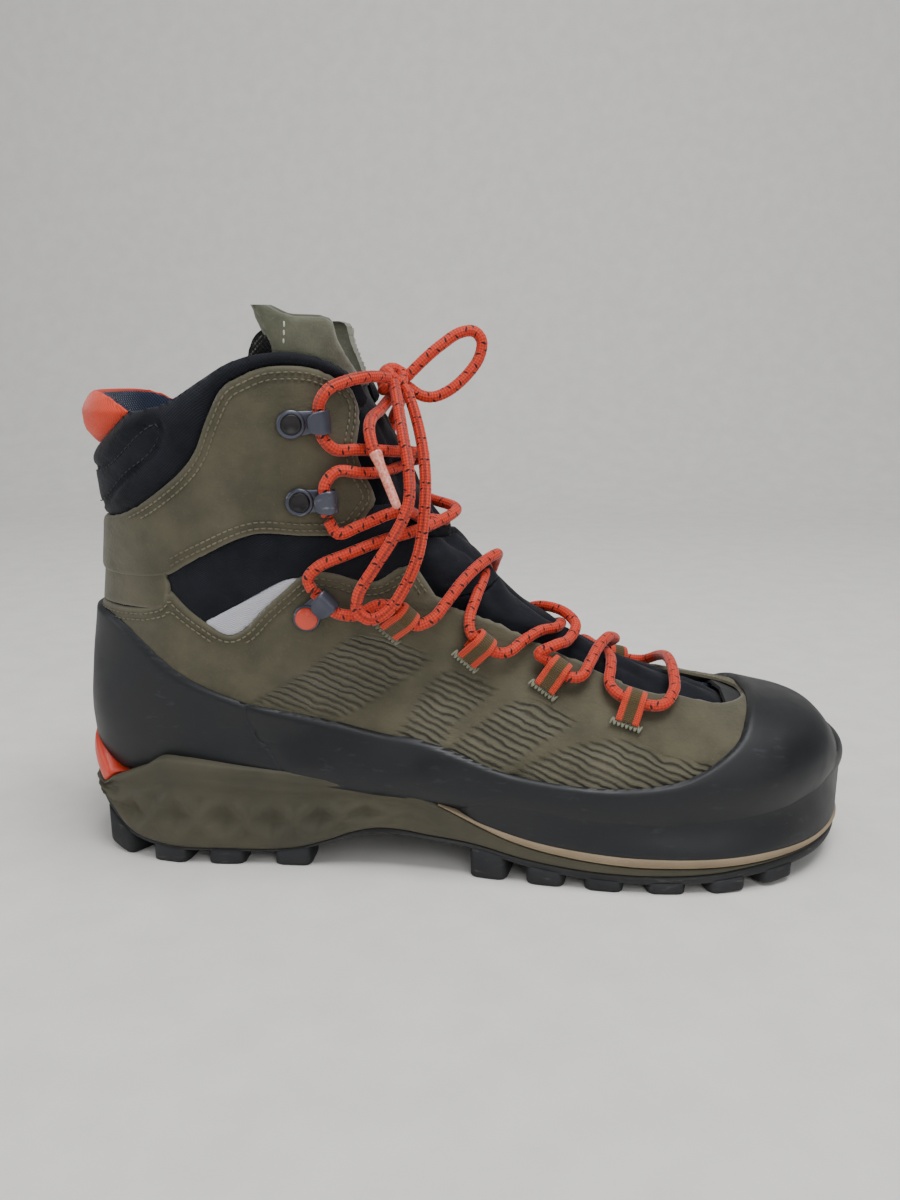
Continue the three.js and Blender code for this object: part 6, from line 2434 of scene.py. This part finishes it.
LACE_ANKLE: dict[str, Route] = {
    "lateral": [
    (-55.7, -39, 112.6), (-57, -39.5, 117), (-53, -39, 121.5), (-43, -35.5, 125.5), (-30, -30, 130),
    (-19, -24, 132.5), (-12, -14, 134), (-4, 1, 137.5), (-14, 14, 139.5), (-24.5, 28, 140.5),
    (-38, 36, 137.5), (-46, 39.5, 133.5), (-49.2, 40.3, 138.4),
],
    "medial": [
    (-55.7, 41.3, 112.6), (-57, 42, 117), (-53, 41.5, 121.5), (-43, 38, 125.5), (-30, 32.5, 130),
    (-17, 26.5, 130), (-12.5, 14.5, 131.5), (-8.5, 1, 133), (-17, -12.5, 136), (-23.5, -29, 141),
    (-38, -33.5, 136), (-46, -37, 133.5), (-49.2, -37.8, 138.4),
],
}
LACE_UPPER: dict[str, Route] = {
    "lateral": [
    (-49.5, -38, 140), (-49.5, -38.5, 145.5), (-50, -39, 151), (-46, -36.5, 156), (-37, -31, 155),
    (-30, -17.5, 154.5), (-22.5, 1, 157), (-25.5, 8.5, 160), (-30, 15.5, 162), (-39.5, 32.5, 164),
    (-46.5, 38, 164.5), (-50.5, 40, 168.5), (-51, 40.5, 174), (-51.5, 40.5, 179.5), (-49, 39.5, 184.5),
    (-44, 33, 187.5), (-35.5, 22, 189.5), (-30, 9.5, 189),
],
    "medial": [
    (-49.5, 40.5, 140), (-49.5, 41, 145), (-50, 41.5, 150.5), (-46, 39, 156), (-37, 33, 155),
    (-27.5, 18.5, 155), (-20, 9, 156.5), (-17, 1, 159.5), (-29, -17.5, 162), (-39.5, -30, 163.5),
    (-46.5, -35.5, 164), (-50.5, -37.5, 168.5), (-51, -37.5, 174), (-51.5, -37.5, 179.5),
    (-49, -36.5, 184.5), (-44, -30.5, 187.5), (-35.5, -20, 189.5), (-30, -9.5, 189),
],
}
BOW_LOOP_UP: Route = [
    (-22.4, 1.9, 190.3), (-16, 4, 196.5), (-10, 6, 201.5), (-3, 8, 206), (2.5, 9, 206.5), (5.5, 9, 203),
    (4.5, 8.5, 196.5), (-0.5, 7, 189.5), (-7, 5, 184), (-13, 4, 181.5), (-18, 3.5, 182),
    (-22.3, 2.9, 184.8),
]
BOW_LOOP_DOWN: Route = [
    (-27.15, -8.9, 185.6), (-25, -18, 178), (-22.5, -27, 168), (-20, -33, 156), (-20, -37, 144),
    (-25, -40, 133), (-32, -42, 122), (-38, -43, 112), (-38.5, -43, 106), (-34, -42.5, 102.5),
    (-28, -41.5, 105), (-22, -39.5, 113), (-16.5, -36.5, 126), (-14.5, -32, 141), (-14.5, -26, 154),
    (-16.5, -18, 166), (-19.5, -11, 176), (-22.4, -5.8, 183),
]
LACE_TAILS: dict[str, Route] = {
    "lateral": [
    (-29.9, -5, 180.7), (-32.5, -13, 177), (-34.5, -23, 174.5), (-34.5, -31, 171), (-33, -36, 166),
    (-31, -37.5, 161.5),
],
    "medial": [
    (-28, 9.5, 184.6), (-28, 20, 179), (-32, 30, 172), (-34, 35, 163), (-33.5, 37.5, 153), (-30, 38, 144),
    (-26, 37, 137),
],
}


@dataclass
class Laces:
    """The braided lace in its stretches, the knot, the bow and the tipped tails.

    Attributes:
        radius: Radius of the lace, mm.
        pitch: Distance between rings of the tube, mm.
        sides: Vertices round it.
        knot_centre: Middle of the knot, mm.
        tip_length: Length of a clear tip, mm.
        ripple: Height of the braid's strands as a share of the radius.
    """

    radius: float = 2.2
    pitch: float = 0.8
    sides: int = 14
    knot_centre: tuple[float, float, float] = (-29.0, 0.0, 188.0)
    tip_length: float = 20.0
    ripple: float = 0.035

    def path(self, route: Route) -> Array:
        """The smooth route, sampled evenly with both ends kept.

        Args:
            route: Points of the route, mm.

        Returns:
            Rows of points, mm.
        """
        curve = smooth(route, 14)
        inner = even(curve, self.pitch)
        return np.vstack([curve[:1], inner, curve[-1:]])

    def cord(self, route: Route) -> tuple[Shell, Array]:
        """A braided stretch along a route, and its path."""
        path = self.path(route)
        return tube(path, self.radius, self.sides, ripple=self.ripple), path

    def length(self, path: Array) -> float:
        """Length of a path in metres."""
        return float(np.linalg.norm(np.diff(path, axis=0), axis=1).sum() * MM)

    def free(self, name: str, route: Route, far_end: str, lay: str,
             with_pieces: Sequence[bpy.types.Object] = ()) -> None:
        """A free stretch that leaves the knot, made as a lace piece on the cuff.

        Args:
            name: Name.
            route: Points of the route, mm.
            far_end: What is on its far end; not used.
            lay: How it lies; not used.
            with_pieces: Pieces that move with it; not used.
        """
        shell, path = self.cord(route)
        piece = add_piece(name, shell, Look.LACE, Body.CUFF, name)
        self.length(path)

    def knot(self) -> Shell:
        """The knot: a band round the middle, two crossing loops under it, and a stub to each strand.

        Returns:
            The knot.
        """
        turn = np.linspace(0, 2 * math.pi, 90, endpoint=False)
        centre = np.array(self.knot_centre)
        band = np.column_stack([3.9 * np.cos(turn), 1.1 * np.sin(turn) + 0.9 * np.sin(2 * turn),
                                4.3 * np.sin(turn)])
        cross_a = np.column_stack([3.2 * np.sin(turn) + 1.0, 6.0 * np.cos(turn),
                                   2.1 * np.sin(2 * turn) + 0.9])
        cross_b = np.column_stack([2.6 * np.cos(turn) - 0.8, 5.6 * np.sin(turn + 0.5),
                                   2.4 * np.cos(turn) * 0.9 - 1.6])
        loops = [tube(centre + loop, radius, self.sides, closed=True, ripple=self.ripple)
                 for loop, radius in ((band, 2.3), (cross_a, 2.1), (cross_b, 2.1))]
        for route in (BOW_LOOP_UP, BOW_LOOP_UP[::-1], BOW_LOOP_DOWN, BOW_LOOP_DOWN[::-1],
                      *LACE_TAILS.values()):
            end, beside = (np.array(route[i], float) for i in (0, 1))
            if np.linalg.norm(end - centre) < 14:
                way = unit(beside - end)
                stub = smooth([centre + (end - centre) * 0.35, end - way * 1.5, end + way * 1.2], 8)
                loops.append(tube(even(stub, self.pitch), self.radius, self.sides, ripple=self.ripple))
        return Shell.merge(loops)

    def tip(self, route: Route) -> Shell:
        """A clear tip: a tube that grips the lace's end, slightly tapered, with a soft lip.

        Args:
            route: Points of the route, mm.

        Returns:
            The tip.
        """
        path = self.path(route)
        forward = unit(np.array(route[-1], float) - np.array(route[-2], float))
        run = np.linspace(-2.0, self.tip_length, 46)
        radius = np.interp(run, [-2, -1.4, 0, 3, 17, 19.2, 20], [2.25, 2.42, 2.3, 1.9, 1.7, 1.6, 1.2])
        return tube(path[-1] + run[:, None] * forward, radius, 20)

    def build(self) -> None:
        """Makes every stretch, the knot, the loops and the tails."""
        add_piece("lace_lower", self.cord(LACE_LOWER)[0], Look.LACE, Body.LOWER, "lace_lower")
        for name in SIDES:
            across = add_piece(f"lace_ankle_{name}", self.cord(LACE_ANKLE[name])[0], Look.LACE, None,
                               f"lace_ankle_{name}")
            bend_at_ankle(across)
            add_piece(f"lace_upper_{name}", self.cord(LACE_UPPER[name])[0], Look.LACE, Body.CUFF,
                      f"lace_upper_{name}")
        add_piece("knot", self.knot(), Look.LACE, Body.CUFF, "knot")
        self.free("bow_loop_up", BOW_LOOP_UP, "object", "loose")
        self.free("bow_loop_down", BOW_LOOP_DOWN, "object", "hanging")
        for name in SIDES:
            tip = add_piece(f"aglet_{name}", self.tip(LACE_TAILS[name]), Look.TIP, Body.CUFF,
                            f"aglet_{name}")
            self.free(f"lace_tail_{name}", LACE_TAILS[name], "fitting", "hanging", [tip])


# ---------- the room ----------
@dataclass
class Studio:
    """A pale floor, soft lights and the camera.

    Attributes:
        camera_place: Camera position, mm.
        camera_turn: Camera rotation, degrees.
        lens: Focal length for a 36 mm sensor, mm.
    """

    camera_place: tuple[float, float, float] = (12.2, -397.0, 193.5)
    camera_turn: tuple[float, float, float] = (76.8, 0.0, 2.7)
    lens: float = 30.0

    def floor(self) -> None:
        """A floor that curves up behind: height is zero, then a quarter circle, then a wall."""
        back, radius = 900.0, 400.0
        turn = np.linspace(0, math.pi / 2, 24)
        y = np.concatenate([[-2500, -600, 0, 400], back + radius * np.sin(turn), [back + radius] * 2])
        z = np.concatenate([[0, 0, 0, 0], radius * (1 - np.cos(turn)), [1500, 3500]])
        x = np.linspace(-3500, 3500, 9)
        points = np.stack([np.broadcast_to(x[None, :], (len(y), 9)),
                           np.broadcast_to(y[:, None], (len(y), 9)),
                           np.broadcast_to(z[:, None], (len(y), 9))], -1).reshape(-1, 3)
        material = Moulded("matt_paper", "leather", "#efede9", (0.85, 0.95), dark="#e9e7e2",
                           scuffed=0.0, grain=1.5,
                           depth=0.02).build()
        paper = make_object("floor", Shell.of(points, grid_faces(len(y), 9)), material)

    def light(self, name: str, place: tuple[float, float, float], turn: tuple[float, float, float],
              size: float,
              power: float) -> None:
        """A square soft light.

        Args:
            name: Name.
            place: Position, m.
            turn: Rotation, degrees.
            size: Side of the square, m.
            power: Power, W.
        """
        data = bpy.data.lights.new(name, "AREA")
        data.size, data.energy = size, power
        lamp = bpy.data.objects.new(name, data)
        lamp.location = place
        lamp.rotation_euler = [math.radians(a) for a in turn]
        bpy.context.scene.collection.objects.link(lamp)

    def build(self) -> None:
        """Makes the floor, the lights, the sky and the camera."""
        self.floor()
        self.light("overhead", (0.25, -0.2, 1.35), (9, 9, 0), 0.7, 15.0)
        self.light("front", (0.6, -1.4, 0.9), (60, 0, 24), 1.0, 6.0)
        self.light("left", (-1.2, -0.5, 0.7), (62, 0, -66), 0.9, 5.0)
        world = bpy.data.worlds.new("room")
        world.use_nodes = True
        world.node_tree.nodes["Background"].inputs[0].default_value = (0.85, 0.88, 0.92, 1)
        world.node_tree.nodes["Background"].inputs[1].default_value = 0.33
        bpy.context.scene.world = world
        data = bpy.data.cameras.new("camera")
        data.lens, data.sensor_width, data.sensor_fit = self.lens, 36.0, "AUTO"
        data.clip_start, data.clip_end = 0.01, 30.0
        camera = bpy.data.objects.new("camera", data)
        camera.location = [v * MM for v in self.camera_place]
        camera.rotation_euler = [math.radians(a) for a in self.camera_turn]
        bpy.context.scene.collection.objects.link(camera)
        bpy.context.scene.camera = camera


def main() -> None:
    """Builds the room and every sub-assembly in order."""
    for part in (Studio(), Laces(), Sole(), LowerUpper(), Ankle(), Cuff(), Tongue(), Inside(), Hooks(),
                 Eyelets()):
        part.build()
        log.info("built %s", type(part).__name__)


if __name__ == "__main__":
    main()
